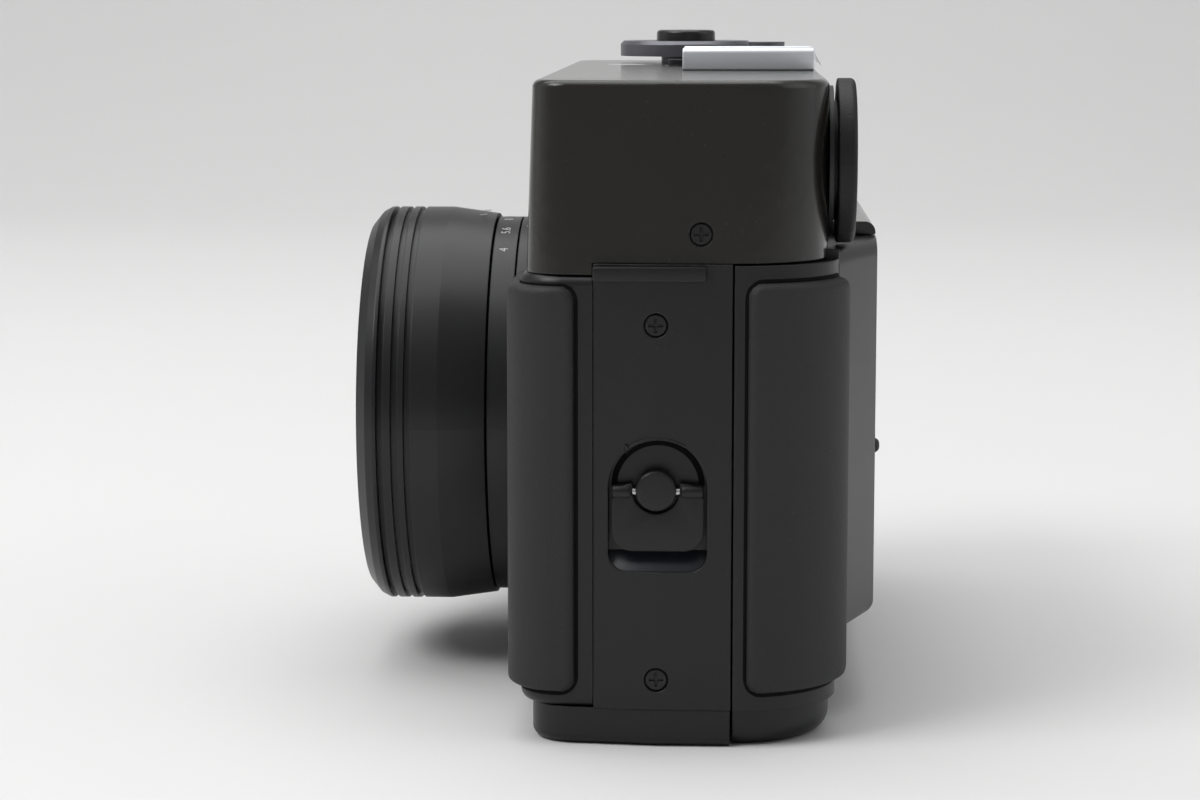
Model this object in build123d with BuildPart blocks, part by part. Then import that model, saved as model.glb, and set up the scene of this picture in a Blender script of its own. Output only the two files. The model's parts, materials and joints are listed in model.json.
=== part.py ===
# A medium-format rangefinder camera with a coupled lens, built from its separate pieces.
# Millimetres. +Z is up, -Y is the way the lens looks, +X is the photographer's left.
# The origin is the mouth of the tripod socket in the base.
import os
from math import atan2, cos, degrees, hypot, pi, sin

from build123d import *

os.makedirs("parts", exist_ok=True)

# Body outline in plan
HALF_WIDTH = 72.5
BEYOND = HALF_WIDTH + 8.0
FRONT_Y = -24.8
BACK_Y = 23.5
SIDE_LEAN = 2.0
LEAN_START_Y = -4.0
FRONT_CORNER = 7.0
LEAN_BLEND = 40.0
REAR_CORNER = 15.5
PART_Y = 7.4
DOOR_GAP = 0.3

# Heights
BASE_TOP = 5.8
SHELL_TOP = 71.5
PLATE_TOP = SHELL_TOP + 1.7
TOP_Z = 100.2
NEAR_DOOR_TOP = SHELL_TOP + 1.5
DOOR_TOP = SHELL_TOP + 2.9
RAISE_X = HALF_WIDTH - 14.0
RAISE_Y = 30.2

# Walls and clearances
SHELL_WALL = 2.0
SHEET = 1.0
COVER_WALL = 1.6
DOOR_WALL = 1.8
SEAM = 0.1
GAP = 0.3
RUNNING = 0.05

# Lens and film
LENS_Z = 42.6
FILM_Y = 16.0
SPOOL_X = HALF_WIDTH - 31.5
SPOOL_Y = 1.5
SPOOL_LENGTH = 64.8
SPOOL_END_PLAY = 0.2
CHAMBER_R = 13.4
FLANGE_R = 12.5
CORE_R = 6.0
GATE_W = 41.5
GATE_H = 56.0

CHAMBER_BOTTOM = LENS_Z - SPOOL_LENGTH / 2 - SPOOL_END_PLAY
CHAMBER_TOP = LENS_Z + SPOOL_LENGTH / 2 + SPOOL_END_PLAY


def plan_face(inset=0.0, front_inset=None, back_inset=None):
    """Draw the body's outline in plan, moved in by its own amount at the sides, front and back."""
    side = HALF_WIDTH - inset
    front = FRONT_Y + (inset if front_inset is None else front_inset)
    back = BACK_Y - (inset if back_inset is None else back_inset)
    lean = side - SIDE_LEAN
    with BuildSketch() as outline:
        with BuildLine():
            Polyline(
                (-lean, front),
                (lean, front),
                (side, LEAN_START_Y),
                (side, back),
                (-side, back),
                (-side, LEAN_START_Y),
                close=True,
            )
        make_face()
        front_corners = outline.vertices().group_by(Axis.Y)[0]
        fillet(front_corners, FRONT_CORNER - inset)
        rear_corners = outline.vertices().group_by(Axis.Y)[-1]
        fillet(rear_corners, REAR_CORNER - inset)
    return outline.sketch


def window(x0, x1, y0, y1):
    """Return a rectangle between two opposite corners in plan."""
    with BuildSketch() as frame:
        with Locations(((x0 + x1) / 2, (y0 + y1) / 2)):
            Rectangle(x1 - x0, y1 - y0)
    return frame.sketch


def block(x0, x1, y0, y1, z0, z1, mode=Mode.ADD):
    """Add or cut a plain block between two opposite corners."""
    with BuildPart(mode=Mode.PRIVATE) as lump:
        with BuildSketch(Plane.XY.offset(z0)):
            add(window(x0, x1, y0, y1))
        extrude(amount=z1 - z0)
    add(lump.part, mode=mode)


def upright(x, y, radius, z0, z1, mode=Mode.ADD):
    """Add or cut a round bar or hole that stands along Z."""
    with BuildPart(mode=Mode.PRIVATE) as bar:
        with BuildSketch(Plane.XY.offset(z0)):
            with Locations((x, y)):
                Circle(radius)
        extrude(amount=z1 - z0)
    add(bar.part, mode=mode)


def axial(x, z, radius, y0, y1, mode=Mode.ADD):
    """Add or cut a round bar or hole that lies along the lens direction, Y."""
    with BuildPart(mode=Mode.PRIVATE) as bar:
        with BuildSketch(Plane.XZ.offset(-y1)):
            with Locations((x, z)):
                Circle(radius)
        extrude(amount=y1 - y0)
    add(bar.part, mode=mode)


def crosswise(y, z, radius, x0, x1, mode=Mode.ADD):
    """Add or cut a round bar or hole that lies across the body, along X."""
    with BuildPart(mode=Mode.PRIVATE) as bar:
        with BuildSketch(Plane.YZ.offset(x0)):
            with Locations((y, z)):
                Circle(radius)
        extrude(amount=x1 - x0)
    add(bar.part, mode=mode)


def save(builder, name):
    """Label the finished piece and write it to its own file."""
    builder.part.label = name
    export_step(builder.part, f"parts/{name}.step")


# Film door hinge, on the photographer's right
HINGE_X = 1.0 - HALF_WIDTH
HINGE_Y = 5.6
KNUCKLE_R = 2.4
HINGE_PIN_R = 1.0
DOOR_KNUCKLE = (20.3, 57.7)
FRAME_KNUCKLES = ((8.0, 20.0), (58.0, 70.0))
HINGE_ROOM = KNUCKLE_R + 0.5

# Frame
FRAME_INSET = 2.5
FRAME_FRONT = FRONT_Y + FRAME_INSET
FRAME_SIDE = HALF_WIDTH - FRAME_INSET
FRAME_BOTTOM = BASE_TOP + SEAM
CEILING = 1.4
MOUTH_HALF = RAISE_X - 2.5
BOX_HALF_W = 21.6
BOX_HALF_H = 29.0
BOX_FRONT = -20.0
GATE_PLATE = 2.5
LENS_BORE_R = 24.0
ROLLER_X = 25.6
ROLLER_R = 1.9
ROLLER_LENGTH = 61.6
JOURNAL_R = 0.9
JOURNAL_LENGTH = 1.2
PEG_R = 3.0
PEG_TIP = 3.0
PEG_FLANGE_R = 4.2
DRIVE_R = 2.0
PANEL_POCKET_Y = -14.9
SIDE_POCKET = (-13.0, 5.4)

# Battery tube in the hand grip
BATTERY_X = -RAISE_X
BATTERY_Y = -23.8
BATTERY_R = 7.8
BATTERY_LENGTH = 27.0
BATTERY_FLOOR = 7.0
BATTERY_PLAY = 0.3
TUBE_TOP = BATTERY_FLOOR + 2 * (BATTERY_LENGTH + BATTERY_PLAY) + 4.4

# Side plates
SIDE_FRONT = -13.5
PLATE_WALL = 2.1

# Frame counter
COUNTER_X = -33.0
COUNTER_Y = -12.0

# Door catch, circuit board and lens release, which the frame makes room for
CATCH_X = HALF_WIDTH - 10.9
CATCH_Z = (36.0, 43.0)
BOARD_Y = -20.4
BOARD_POSTS_X = (36.0, HALF_WIDTH - 12.5)
BOARD_POSTS_Z = (18.0, 60.0)
RELEASE_X = -39.5
RELEASE_R = 3.2
RELEASE_PIN_X = -24.6
BAR_Y = -21.9

frame_rear_floor = CHAMBER_BOTTOM - 1.6
frame_top = CHAMBER_TOP + CEILING
roller_y = FILM_Y - 0.2 - ROLLER_R

# Die-cast body frame: film chambers, dark box behind the lens, film gate and hinge knuckles.
with BuildPart() as body_frame:
    with BuildSketch(Plane.XY.offset(FRAME_BOTTOM)):
        add(plan_face(FRAME_INSET))
        add(window(-FRAME_SIDE, FRAME_SIDE, FRAME_FRONT - 1, PART_Y - 0.2), mode=Mode.INTERSECT)
    extrude(amount=SHELL_TOP - SEAM - FRAME_BOTTOM)
    block(3 - FRAME_SIDE, FRAME_SIDE - 3, FRAME_FRONT + 2.8, PART_Y - 0.2, SHELL_TOP - 1,
          frame_top)
    block(-MOUTH_HALF, MOUTH_HALF, 0, FILM_Y, frame_rear_floor, frame_top)
    for side in (-1, 1):
        centre = side * SPOOL_X
        upright(centre, SPOOL_Y, CHAMBER_R, CHAMBER_BOTTOM, CHAMBER_TOP, Mode.SUBTRACT)
        block(
            centre - CHAMBER_R, centre + CHAMBER_R, SPOOL_Y, FILM_Y + 1,
            CHAMBER_BOTTOM, CHAMBER_TOP, Mode.SUBTRACT,
        )
        near, far = sorted((side * (ROLLER_X - ROLLER_R - GAP), side * (SPOOL_X - CHAMBER_R + 1)))
        half = ROLLER_LENGTH / 2 + GAP
        block(near, far, roller_y - ROLLER_R - GAP, FILM_Y + 1, LENS_Z - half, LENS_Z + half, Mode.SUBTRACT)
        reach = half + JOURNAL_LENGTH
        upright(side * ROLLER_X, roller_y, JOURNAL_R + RUNNING, LENS_Z - reach, LENS_Z + reach, Mode.SUBTRACT)
        low, high = sorted((side * 30.0, side * (FRAME_SIDE - 4)))
        block(low, high, FRAME_FRONT - 1, PANEL_POCKET_Y, CHAMBER_BOTTOM, SHELL_TOP - 2.5, Mode.SUBTRACT)
        low, high = sorted((side * (MOUTH_HALF + 0.5), side * (FRAME_SIDE + 1)))
        block(low, high, *SIDE_POCKET, 12.5, SHELL_TOP - 2.0, Mode.SUBTRACT)
        upright(centre, SPOOL_Y, PEG_R + RUNNING, FRAME_BOTTOM - 1, CHAMBER_BOTTOM + 1, Mode.SUBTRACT)
        upright(centre, SPOOL_Y, PEG_FLANGE_R + GAP, FRAME_BOTTOM - 1, frame_rear_floor, Mode.SUBTRACT)
    block(-BOX_HALF_W, BOX_HALF_W, BOX_FRONT, FILM_Y - GATE_PLATE, LENS_Z - BOX_HALF_H,
          LENS_Z + BOX_HALF_H, Mode.SUBTRACT)
    block(-GATE_W / 2, GATE_W / 2, FILM_Y - GATE_PLATE - 1, FILM_Y + 1, LENS_Z - GATE_H / 2,
          LENS_Z + GATE_H / 2, Mode.SUBTRACT)
    axial(0, LENS_Z, LENS_BORE_R, FRAME_FRONT - 1, BOX_FRONT + 1, Mode.SUBTRACT)
    low, high = CATCH_Z
    block(CATCH_X - 0.8, CATCH_X + 5.0, SIDE_POCKET[1] - 1, PART_Y, low - 1.5, high + 1.5, Mode.SUBTRACT)
    upright(BATTERY_X, BATTERY_Y, BATTERY_R + 2.0, FRAME_BOTTOM - 1, TUBE_TOP, Mode.SUBTRACT)
    block(HINGE_X - 5, HINGE_X + HINGE_ROOM, HINGE_Y - HINGE_ROOM, PART_Y + 1, FRAME_BOTTOM - 1,
          CHAMBER_TOP + 2, Mode.SUBTRACT)
    for low, high in FRAME_KNUCKLES:
        upright(HINGE_X, HINGE_Y, KNUCKLE_R, low, high)
        block(HINGE_X, HINGE_X + HINGE_ROOM + 0.5, HINGE_Y - KNUCKLE_R, HINGE_Y, low, high)
    upright(HINGE_X, HINGE_Y, HINGE_PIN_R, 0, 80, Mode.SUBTRACT)
    for x in BOARD_POSTS_X:
        for z in BOARD_POSTS_Z:
            axial(x, z, 2.0, BOARD_Y, PANEL_POCKET_Y + 0.5)
    block(-31.0, RELEASE_PIN_X + 2.2, FRAME_FRONT - 1, BAR_Y + 3.6, LENS_Z - 2.2, LENS_Z + 2.2, Mode.SUBTRACT)
    upright(SPOOL_X, SPOOL_Y, PEG_R, CHAMBER_TOP - 2.2, CHAMBER_TOP + SEAM)
    upright(-SPOOL_X, SPOOL_Y, DRIVE_R + RUNNING, CHAMBER_TOP - 1, CHAMBER_TOP + 3, Mode.SUBTRACT)
    upright(COUNTER_X, COUNTER_Y, 2.4, frame_top, frame_top + 14)
    upright(COUNTER_X, COUNTER_Y, 1.0 + RUNNING, frame_top + 10 - SEAM, frame_top + 20, Mode.SUBTRACT)
save(body_frame, "body_frame")

MOUNT_PLATE_R = 27.0

# Moulded front shell, which wraps both front corners.
with BuildPart() as front_shell:
    with BuildSketch(Plane.XY.offset(BASE_TOP)):
        add(plan_face())
        add(window(-BEYOND, BEYOND, FRONT_Y - 1, SIDE_FRONT), mode=Mode.INTERSECT)
    extrude(amount=SHELL_TOP - BASE_TOP)
    front_face = front_shell.faces().sort_by(Axis.Y)[0]
    fillet(front_face.edges().filter_by(Axis.X), 1.6)
    with BuildSketch(Plane.XY.offset(BASE_TOP - 1)):
        add(plan_face(SHELL_WALL))
        add(window(-BEYOND, BEYOND, FRONT_Y - 1, SIDE_FRONT + 1), mode=Mode.INTERSECT)
    extrude(amount=SHELL_TOP - BASE_TOP + 2, mode=Mode.SUBTRACT)
    axial(0, LENS_Z, MOUNT_PLATE_R + SEAM, FRONT_Y - 1, FRONT_Y + 5, Mode.SUBTRACT)
    upright(BATTERY_X, BATTERY_Y, BATTERY_R + 2.0 + SEAM, BASE_TOP - 1, TUBE_TOP + 0.5, Mode.SUBTRACT)
    axial(RELEASE_X, LENS_Z, RELEASE_R + GAP, FRONT_Y - 1, FRONT_Y + 4, Mode.SUBTRACT)
save(front_shell, "front_shell")

# Latch on the near side
HUB_Y = -4.0
HUB_Z = 39.2
HUB_R = 3.05
RECESS = (-11.2, 3.7, 26.9)
RECESS_R = 7.45
RECESS_FLOOR = HALF_WIDTH - 3.0
RECESS_BACK = HALF_WIDTH - 5.1
CAM_X = HALF_WIDTH - 7.5
KEY_AXIS_X = HALF_WIDTH - 1.4
KEY_AXIS_Z = 38.95
KEY_THICK = 1.4
KEY = (-10.6, 3.2, 30.0, 40.2)
KEY_CORNER = 3.0
KEY_PIN_R = 0.6
SCREW_HEAD_R = 1.7
SCREW_SEAT = 0.9
SCREW_R = 0.9
SIDE_SCREWS = ((-4.05, 64.1), (-3.9, 10.4))


def side_slab(side):
    """Build the plate that closes one end of the body between the front shell and the door."""
    with BuildPart(mode=Mode.PRIVATE) as slab:
        with BuildSketch(Plane.XY.offset(BASE_TOP)):
            add(plan_face())
            add(plan_face(PLATE_WALL), mode=Mode.SUBTRACT)
            add(window(min(0, side * BEYOND), max(0, side * BEYOND), SIDE_FRONT + SEAM, PART_Y - SEAM),
                mode=Mode.INTERSECT)
        extrude(amount=PLATE_TOP - BASE_TOP)
        for y, z in SIDE_SCREWS:
            low, high = sorted((side * (HALF_WIDTH - SCREW_SEAT), side * (HALF_WIDTH + 1)))
            crosswise(y, z, SCREW_HEAD_R + 0.15, low, high, Mode.SUBTRACT)
            low, high = sorted((side * (HALF_WIDTH - PLATE_WALL - 1), side * HALF_WIDTH))
            crosswise(y, z, SCREW_R, low, high, Mode.SUBTRACT)
    return slab.part


def recess_outline(grow=0.0):
    """Draw the arched outline of the latch recess, seen from the side."""
    y0, y1, z0 = RECESS
    middle = (y0 + y1) / 2
    radius = RECESS_R + grow
    spring = HUB_Z + 0.4
    with BuildSketch() as arch:
        with Locations((middle, spring)):
            Circle(radius)
        with Locations((middle, (z0 - grow + spring) / 2)):
            RectangleRounded(2 * radius, spring - z0 + grow, 2.9)
        with Locations((middle, spring - 4)):
            Rectangle(2 * radius, 8)
    return arch.sketch


# Side plate on the near side, with the sunk well of the door latch.
with BuildPart() as side_plate:
    add(side_slab(1))
    with BuildSketch(Plane.YZ.offset(RECESS_BACK)):
        add(recess_outline(1.4))
    extrude(amount=HALF_WIDTH - 1.2 - RECESS_BACK)
    with BuildSketch(Plane.YZ.offset(RECESS_FLOOR)):
        add(recess_outline())
    extrude(amount=6, mode=Mode.SUBTRACT)
    crosswise(HUB_Y, HUB_Z, 1.5 + RUNNING, RECESS_BACK - 1, RECESS_FLOOR + 1, Mode.SUBTRACT)
save(side_plate, "side_plate")

# Plate on the hinge side.
with BuildPart() as hinge_side_plate:
    add(side_slab(-1))
    upright(HINGE_X, HINGE_Y, HINGE_ROOM, BASE_TOP - 1, PLATE_TOP + 1, Mode.SUBTRACT)
    block(HINGE_X - 5, HINGE_X, HINGE_Y - HINGE_ROOM, PART_Y + 1, BASE_TOP - 1, PLATE_TOP + 1, Mode.SUBTRACT)
save(hinge_side_plate, "hinge_side_plate")

# Latch hub: the round button, its shaft and the cam behind the plate.
with BuildPart() as latch_hub:
    crosswise(HUB_Y, HUB_Z, HUB_R, RECESS_FLOOR, HALF_WIDTH + 0.1)
    fillet(latch_hub.faces().sort_by(Axis.X)[-1].edges(), 0.4)
    crosswise(HUB_Y, HUB_Z, 1.5, CAM_X, RECESS_FLOOR)
    with BuildSketch(Plane.YZ.offset(CAM_X)):
        with Locations((HUB_Y, HUB_Z)):
            Circle(3.2)
        with Locations((HUB_Y, HUB_Z + 4)):
            RectangleRounded(4.0, 9.0, 1.0)
    extrude(amount=1.4)
    with BuildSketch(Plane.XZ.offset(-5)):
        with Locations((KEY_AXIS_X, KEY_AXIS_Z)):
            Circle(KEY_PIN_R)
    extrude(amount=20, mode=Mode.SUBTRACT)
save(latch_hub, "latch_hub")

# Fold-out latch key, a D-shaped flap with a slot round the hub.
with BuildPart() as latch_key:
    y0, y1, z0, z1 = KEY
    with BuildSketch(Plane.YZ.offset(KEY_AXIS_X - KEY_THICK / 2)) as flap:
        with Locations(((y0 + y1) / 2, (z0 + z1) / 2)):
            Rectangle(y1 - y0, z1 - z0)
        fillet(flap.vertices().group_by(Axis.Z)[0], KEY_CORNER)
        with Locations((HUB_Y, HUB_Z)):
            Circle(HUB_R + 0.5, mode=Mode.SUBTRACT)
        with Locations((HUB_Y, HUB_Z + 3)):
            Rectangle(2 * HUB_R + 1.0, 6, mode=Mode.SUBTRACT)
    extrude(amount=KEY_THICK)
    pin_y = (y0 + y1) / 2
    with BuildSketch(Plane.XZ.offset(-y1 - 1)):
        with Locations((KEY_AXIS_X, KEY_AXIS_Z)):
            Circle(KEY_PIN_R + RUNNING)
    extrude(amount=y1 - y0 + 2, mode=Mode.SUBTRACT)
save(latch_key, "latch_key")

# Pin that the key folds on.
with BuildPart() as latch_pin:
    axial(KEY_AXIS_X, KEY_AXIS_Z, KEY_PIN_R, KEY[0] + 0.4, KEY[1] - 0.4)
save(latch_pin, "latch_pin")

# Base cover
BASE_SIDE_INSET = 0.3
BASE_FRONT_INSET = 1.8
SOCKET_R = 2.6
SOCKET_LENGTH = 5.6
BUSH_R = 6.0
BASE_SCREW_X = HALF_WIDTH - 22.5
BASE_SCREWS = ((-BASE_SCREW_X, -8.0), (BASE_SCREW_X, -8.0), (-24.0, -12.0), (24.0, -12.0))
POST_R = 3.0

with BuildPart() as base_cover:
    with BuildSketch():
        add(plan_face(BASE_SIDE_INSET, BASE_FRONT_INSET))
        add(window(-BEYOND, BEYOND, -30, PART_Y - 0.2), mode=Mode.INTERSECT)
    extrude(amount=BASE_TOP)
    lower_rim = base_cover.faces().sort_by(Axis.Z)[0].edges().filter_by_position(Axis.Y, -30, PART_Y - 1)
    fillet(lower_rim, 1.6)
    with BuildSketch(Plane.XY.offset(SHEET)):
        add(plan_face(BASE_SIDE_INSET + SHEET + 0.6, BASE_FRONT_INSET + SHEET + 0.6))
        add(window(-BEYOND, BEYOND, -30, PART_Y - 0.2 - SHEET), mode=Mode.INTERSECT)
    extrude(amount=BASE_TOP, mode=Mode.SUBTRACT)
    upright(0, 0, BUSH_R, -1, 3, Mode.SUBTRACT)
    upright(BATTERY_X, BATTERY_Y, BATTERY_R + 2.0 + SEAM, -1, BASE_TOP + 1, Mode.SUBTRACT)
    for x, y in BASE_SCREWS:
        upright(x, y, POST_R, SHEET - 0.2, FRAME_BOTTOM - SEAM)
        upright(x, y, SCREW_HEAD_R + 0.15, -1, SCREW_SEAT, Mode.SUBTRACT)
        upright(x, y, SCREW_R, 0, FRAME_BOTTOM + 1, Mode.SUBTRACT)
save(base_cover, "base_cover")

# Tripod bush.
with BuildPart() as tripod_bush:
    upright(0, 0, BUSH_R, 0, FRAME_BOTTOM)
    upright(0, 0, SOCKET_R, -1, SOCKET_LENGTH, Mode.SUBTRACT)
    chamfer(tripod_bush.faces().sort_by(Axis.Z)[0].edges().sort_by(SortBy.LENGTH)[-1], 0.3)
save(tripod_bush, "tripod_bush")

# Top cover
TOP_SIDE_INSET = 0.4
TOP_FRONT_INSET = 1.0
TOP_BACK_INSET = 1.7
TOP_LEAN = 1.0
LEVER_X = 18.5 - HALF_WIDTH
LEVER_Y = -1.5
LEVER_TUBE_R = 4.6
DIAL_X = -24.0
DIAL_Y = 9.0
DIAL_SHAFT_R = 2.0
COUNTER_WINDOW_R = 3.6
LAMP_X = -22.0
LAMP_R = 2.2
FINDER_ROOM = TOP_Z - COVER_WALL - frame_top
FINDER_Z = frame_top + FINDER_ROOM / 2 - 0.2
FINDER_X = HALF_WIDTH - 22.5
LAMP_Z = FINDER_Z + 0.6
WINDOWS = {
    "finder_window": (FINDER_X, 18.0, FINDER_ROOM - 10.0),
    "frosted_window": (27.0, 14.0, FINDER_ROOM - 13.0),
    "rangefinder_window": (4.0, 7.0, FINDER_ROOM - 16.0),
}
EYE_BORE = 7.0
TOP_SCREW = (2.6, SHELL_TOP + 6.1)
TOP_SCREW_SEAT = HALF_WIDTH - 1.6
TOP_REAR = BACK_Y - TOP_BACK_INSET
LEDGE_HALF = 33.0
LEDGE_TOP = DOOR_TOP + 2.3
LEDGE_ROUND = 1.7
WINDOW_OUT = -21.7
WINDOW_IN = -22.9


def leaning_body(wall, bottom, top):
    """Loft the top cover's leaning form, drawn in by a wall's thickness."""
    with BuildPart(mode=Mode.PRIVATE) as form:
        for height, lean in ((bottom, 0.0), (top, TOP_LEAN)):
            with BuildSketch(Plane.XY.offset(height)):
                inward = wall + lean
                add(plan_face(TOP_SIDE_INSET + inward, TOP_FRONT_INSET + inward, TOP_BACK_INSET + wall))
        loft()
    return form.part


with BuildPart() as top_cover:
    add(leaning_body(0.0, SHELL_TOP, TOP_Z))
    fillet(top_cover.faces().sort_by(Axis.Z)[-1].edges(), 1.2)
    add(leaning_body(COVER_WALL, SHELL_TOP, TOP_Z - COVER_WALL), mode=Mode.SUBTRACT)
    block(-BEYOND, BEYOND, SIDE_FRONT - SEAM, 40, SHELL_TOP - 2, PLATE_TOP + SEAM, Mode.SUBTRACT)
    block(-BEYOND, RAISE_X + GAP, PART_Y - SEAM, 40, SHELL_TOP, DOOR_TOP + GAP, Mode.SUBTRACT)
    block(-LEDGE_HALF, LEDGE_HALF, TOP_REAR - 1, RAISE_Y, DOOR_TOP + GAP, LEDGE_TOP)
    ledge_edge = top_cover.faces().sort_by(Axis.Y)[-1].edges().sort_by(Axis.Z)[-1]
    fillet(ledge_edge, LEDGE_ROUND)
    block(-BEYOND, HINGE_X + 4.5, HINGE_Y - HINGE_ROOM - 0.4, 40, SHELL_TOP, DOOR_TOP + GAP, Mode.SUBTRACT)
    for x, width, height in WINDOWS.values():
        block(x - width / 2, x + width / 2, -30, WINDOW_OUT + 2, FINDER_Z - height / 2,
              FINDER_Z + height / 2, Mode.SUBTRACT)
    axial(LAMP_X, LAMP_Z, LAMP_R, -30, -18, Mode.SUBTRACT)
    axial(FINDER_X, FINDER_Z, EYE_BORE, 15, 30, Mode.SUBTRACT)
    upright(LEVER_X, LEVER_Y, LEVER_TUBE_R + RUNNING, TOP_Z - 5, TOP_Z + 5, Mode.SUBTRACT)
    upright(DIAL_X, DIAL_Y, DIAL_SHAFT_R + RUNNING, TOP_Z - 5, TOP_Z + 5, Mode.SUBTRACT)
    upright(COUNTER_X, COUNTER_Y, COUNTER_WINDOW_R, TOP_Z - 5, TOP_Z + 5, Mode.SUBTRACT)
    y, z = TOP_SCREW
    for low, high in ((TOP_SCREW_SEAT, BEYOND), (-BEYOND, -TOP_SCREW_SEAT)):
        crosswise(y, z, SCREW_HEAD_R + 0.15, low, high, Mode.SUBTRACT)
    crosswise(y, z, SCREW_R, -BEYOND, BEYOND, Mode.SUBTRACT)
save(top_cover, "top_cover")

# Window glass in the front of the top cover.
for name, (x, width, height) in WINDOWS.items():
    with BuildPart() as glass:
        block(x - width / 2, x + width / 2, WINDOW_IN, WINDOW_OUT,
              FINDER_Z - height / 2, FINDER_Z + height / 2)
    save(glass, name)

# Self-timer lamp.
with BuildPart() as timer_lamp:
    axial(LAMP_X, LAMP_Z, LAMP_R, -24.0, -21.0)
    fillet(timer_lamp.faces().sort_by(Axis.Y)[0].edges(), 0.8)
save(timer_lamp, "timer_lamp")

# Frame counter window.
with BuildPart() as counter_window:
    upright(COUNTER_X, COUNTER_Y, COUNTER_WINDOW_R, TOP_Z - COVER_WALL, TOP_Z)
save(counter_window, "counter_window")

# Finder body: a tube behind the finder window, with a step that holds the prism.
FINDER_HALF = (11.0, FINDER_ROOM / 2 - 3.0)
FINDER_FRONT = -20.2
FINDER_BACK = 19.4
PRISM_SIDE = 13.0
with BuildPart() as finder_body:
    half_w, half_h = FINDER_HALF
    block(FINDER_X - half_w, FINDER_X + half_w, FINDER_FRONT, FINDER_BACK, frame_top, FINDER_Z + half_h)
    block(FINDER_X - half_w + 2, FINDER_X + half_w - 2, FINDER_FRONT - 1, FINDER_BACK - 4,
          FINDER_Z - half_h + 1.5, FINDER_Z + half_h - 1.5, Mode.SUBTRACT)
    axial(FINDER_X, FINDER_Z, EYE_BORE, FINDER_BACK - 6, FINDER_BACK + 1, Mode.SUBTRACT)
    block(FINDER_X - half_w - 1, FINDER_X, -6, 6, FINDER_Z - 4, FINDER_Z + 4, Mode.SUBTRACT)
save(finder_body, "finder_body")

# Beam splitter prism in the finder.
with BuildPart() as finder_prism:
    block(FINDER_X - PRISM_SIDE / 2, FINDER_X + PRISM_SIDE / 2, -PRISM_SIDE / 2, PRISM_SIDE / 2,
          FINDER_Z - FINDER_HALF[1] + 1.5, FINDER_Z + FINDER_HALF[1] - 2.0)
    chamfer(finder_prism.edges().filter_by(Axis.Z), 0.4)
save(finder_prism, "finder_prism")

# Slanted mirror behind the rangefinder window, on its own foot.
with BuildPart() as range_mirror:
    with BuildSketch(Plane.XY.offset(frame_top)):
        with BuildLine():
            Polyline((-1.0, -16.0), (9.0, -16.0), (9.0, -6.0), (7.6, -6.0), (-1.0, -14.6), close=True)
        make_face()
    extrude(amount=FINDER_Z + FINDER_HALF[1] - 3 - frame_top)
save(range_mirror, "range_mirror")

# Eyepiece: a flanged tube in the back of the top cover, its lens and the rubber eyecup.
EYE_FLANGE_R = 11.5
EYE_FLANGE = 0.75
EYE_NECK_R = 9.2
EYECUP_Y = (TOP_REAR + 1.35, TOP_REAR + 4.2)
EYECUP_R = 12.65
with BuildPart() as eyepiece:
    axial(FINDER_X, FINDER_Z, EYE_FLANGE_R, TOP_REAR, TOP_REAR + EYE_FLANGE)
    axial(FINDER_X, FINDER_Z, EYE_NECK_R, TOP_REAR, EYECUP_Y[0])
    axial(FINDER_X, FINDER_Z, EYE_BORE, FINDER_BACK - 4, EYECUP_Y[0])
    axial(FINDER_X, FINDER_Z, EYE_BORE - 1.2, FINDER_BACK - 5, TOP_REAR + 3, Mode.SUBTRACT)
save(eyepiece, "eyepiece")

with BuildPart() as eye_lens:
    axial(FINDER_X, FINDER_Z, EYE_BORE - 1.2, TOP_REAR - 2.5, TOP_REAR - 0.5)
save(eye_lens, "eye_lens")

with BuildPart() as eyecup:
    axial(FINDER_X, FINDER_Z, EYECUP_R, *EYECUP_Y)
    fillet(eyecup.edges().sort_by(Axis.Y)[-1], 0.9)
    fillet(eyecup.edges().sort_by(Axis.Y)[0], 0.3)
    axial(FINDER_X, FINDER_Z, EYE_BORE + 0.6, TOP_REAR, TOP_REAR + 6, Mode.SUBTRACT)
save(eyecup, "eyecup")

# Hot shoe, its insulated contact block and leaf spring
SHOE_HALF = 10.5
SHOE_FRONT = -1.2
SHOE_BACK = 20.9
SHOE_HEIGHT = 3.7
SHOE_TOP = TOP_Z + SHOE_HEIGHT
SHOE_SLOT = 18.8
SHOE_MOUTH = 12.6
SHOE_FLOOR = TOP_Z + 0.8
SHOE_LIP = 0.9
with BuildPart() as hot_shoe:
    block(-SHOE_HALF, SHOE_HALF, SHOE_FRONT, SHOE_BACK, TOP_Z, SHOE_TOP)
    rails = hot_shoe.edges().filter_by(Axis.Y).group_by(Axis.Z)[-1]
    chamfer(rails, 0.5)
    slot = SHOE_SLOT / 2
    block(-slot, slot, SHOE_FRONT + 1.2, SHOE_BACK + 1, SHOE_FLOOR, SHOE_TOP - SHOE_LIP, Mode.SUBTRACT)
    mouth = SHOE_MOUTH / 2
    block(-mouth, mouth, SHOE_FRONT - 1, SHOE_BACK + 1, SHOE_FLOOR, SHOE_TOP + 1, Mode.SUBTRACT)
    block(-5, 5, SHOE_FRONT + 5, SHOE_BACK - 6, TOP_Z - 1, TOP_Z + 3, Mode.SUBTRACT)
save(hot_shoe, "hot_shoe")

with BuildPart() as shoe_contacts:
    block(-5, 5, SHOE_FRONT + 5, SHOE_BACK - 6, TOP_Z, SHOE_FLOOR)
    for x, y, radius in ((0, 9.8, 1.4), (2.8, 5.6, 0.7), (-2.8, 5.6, 0.7)):
        upright(x, y, radius, SHOE_FLOOR, SHOE_FLOOR + 0.25)
save(shoe_contacts, "shoe_contacts")

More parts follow.
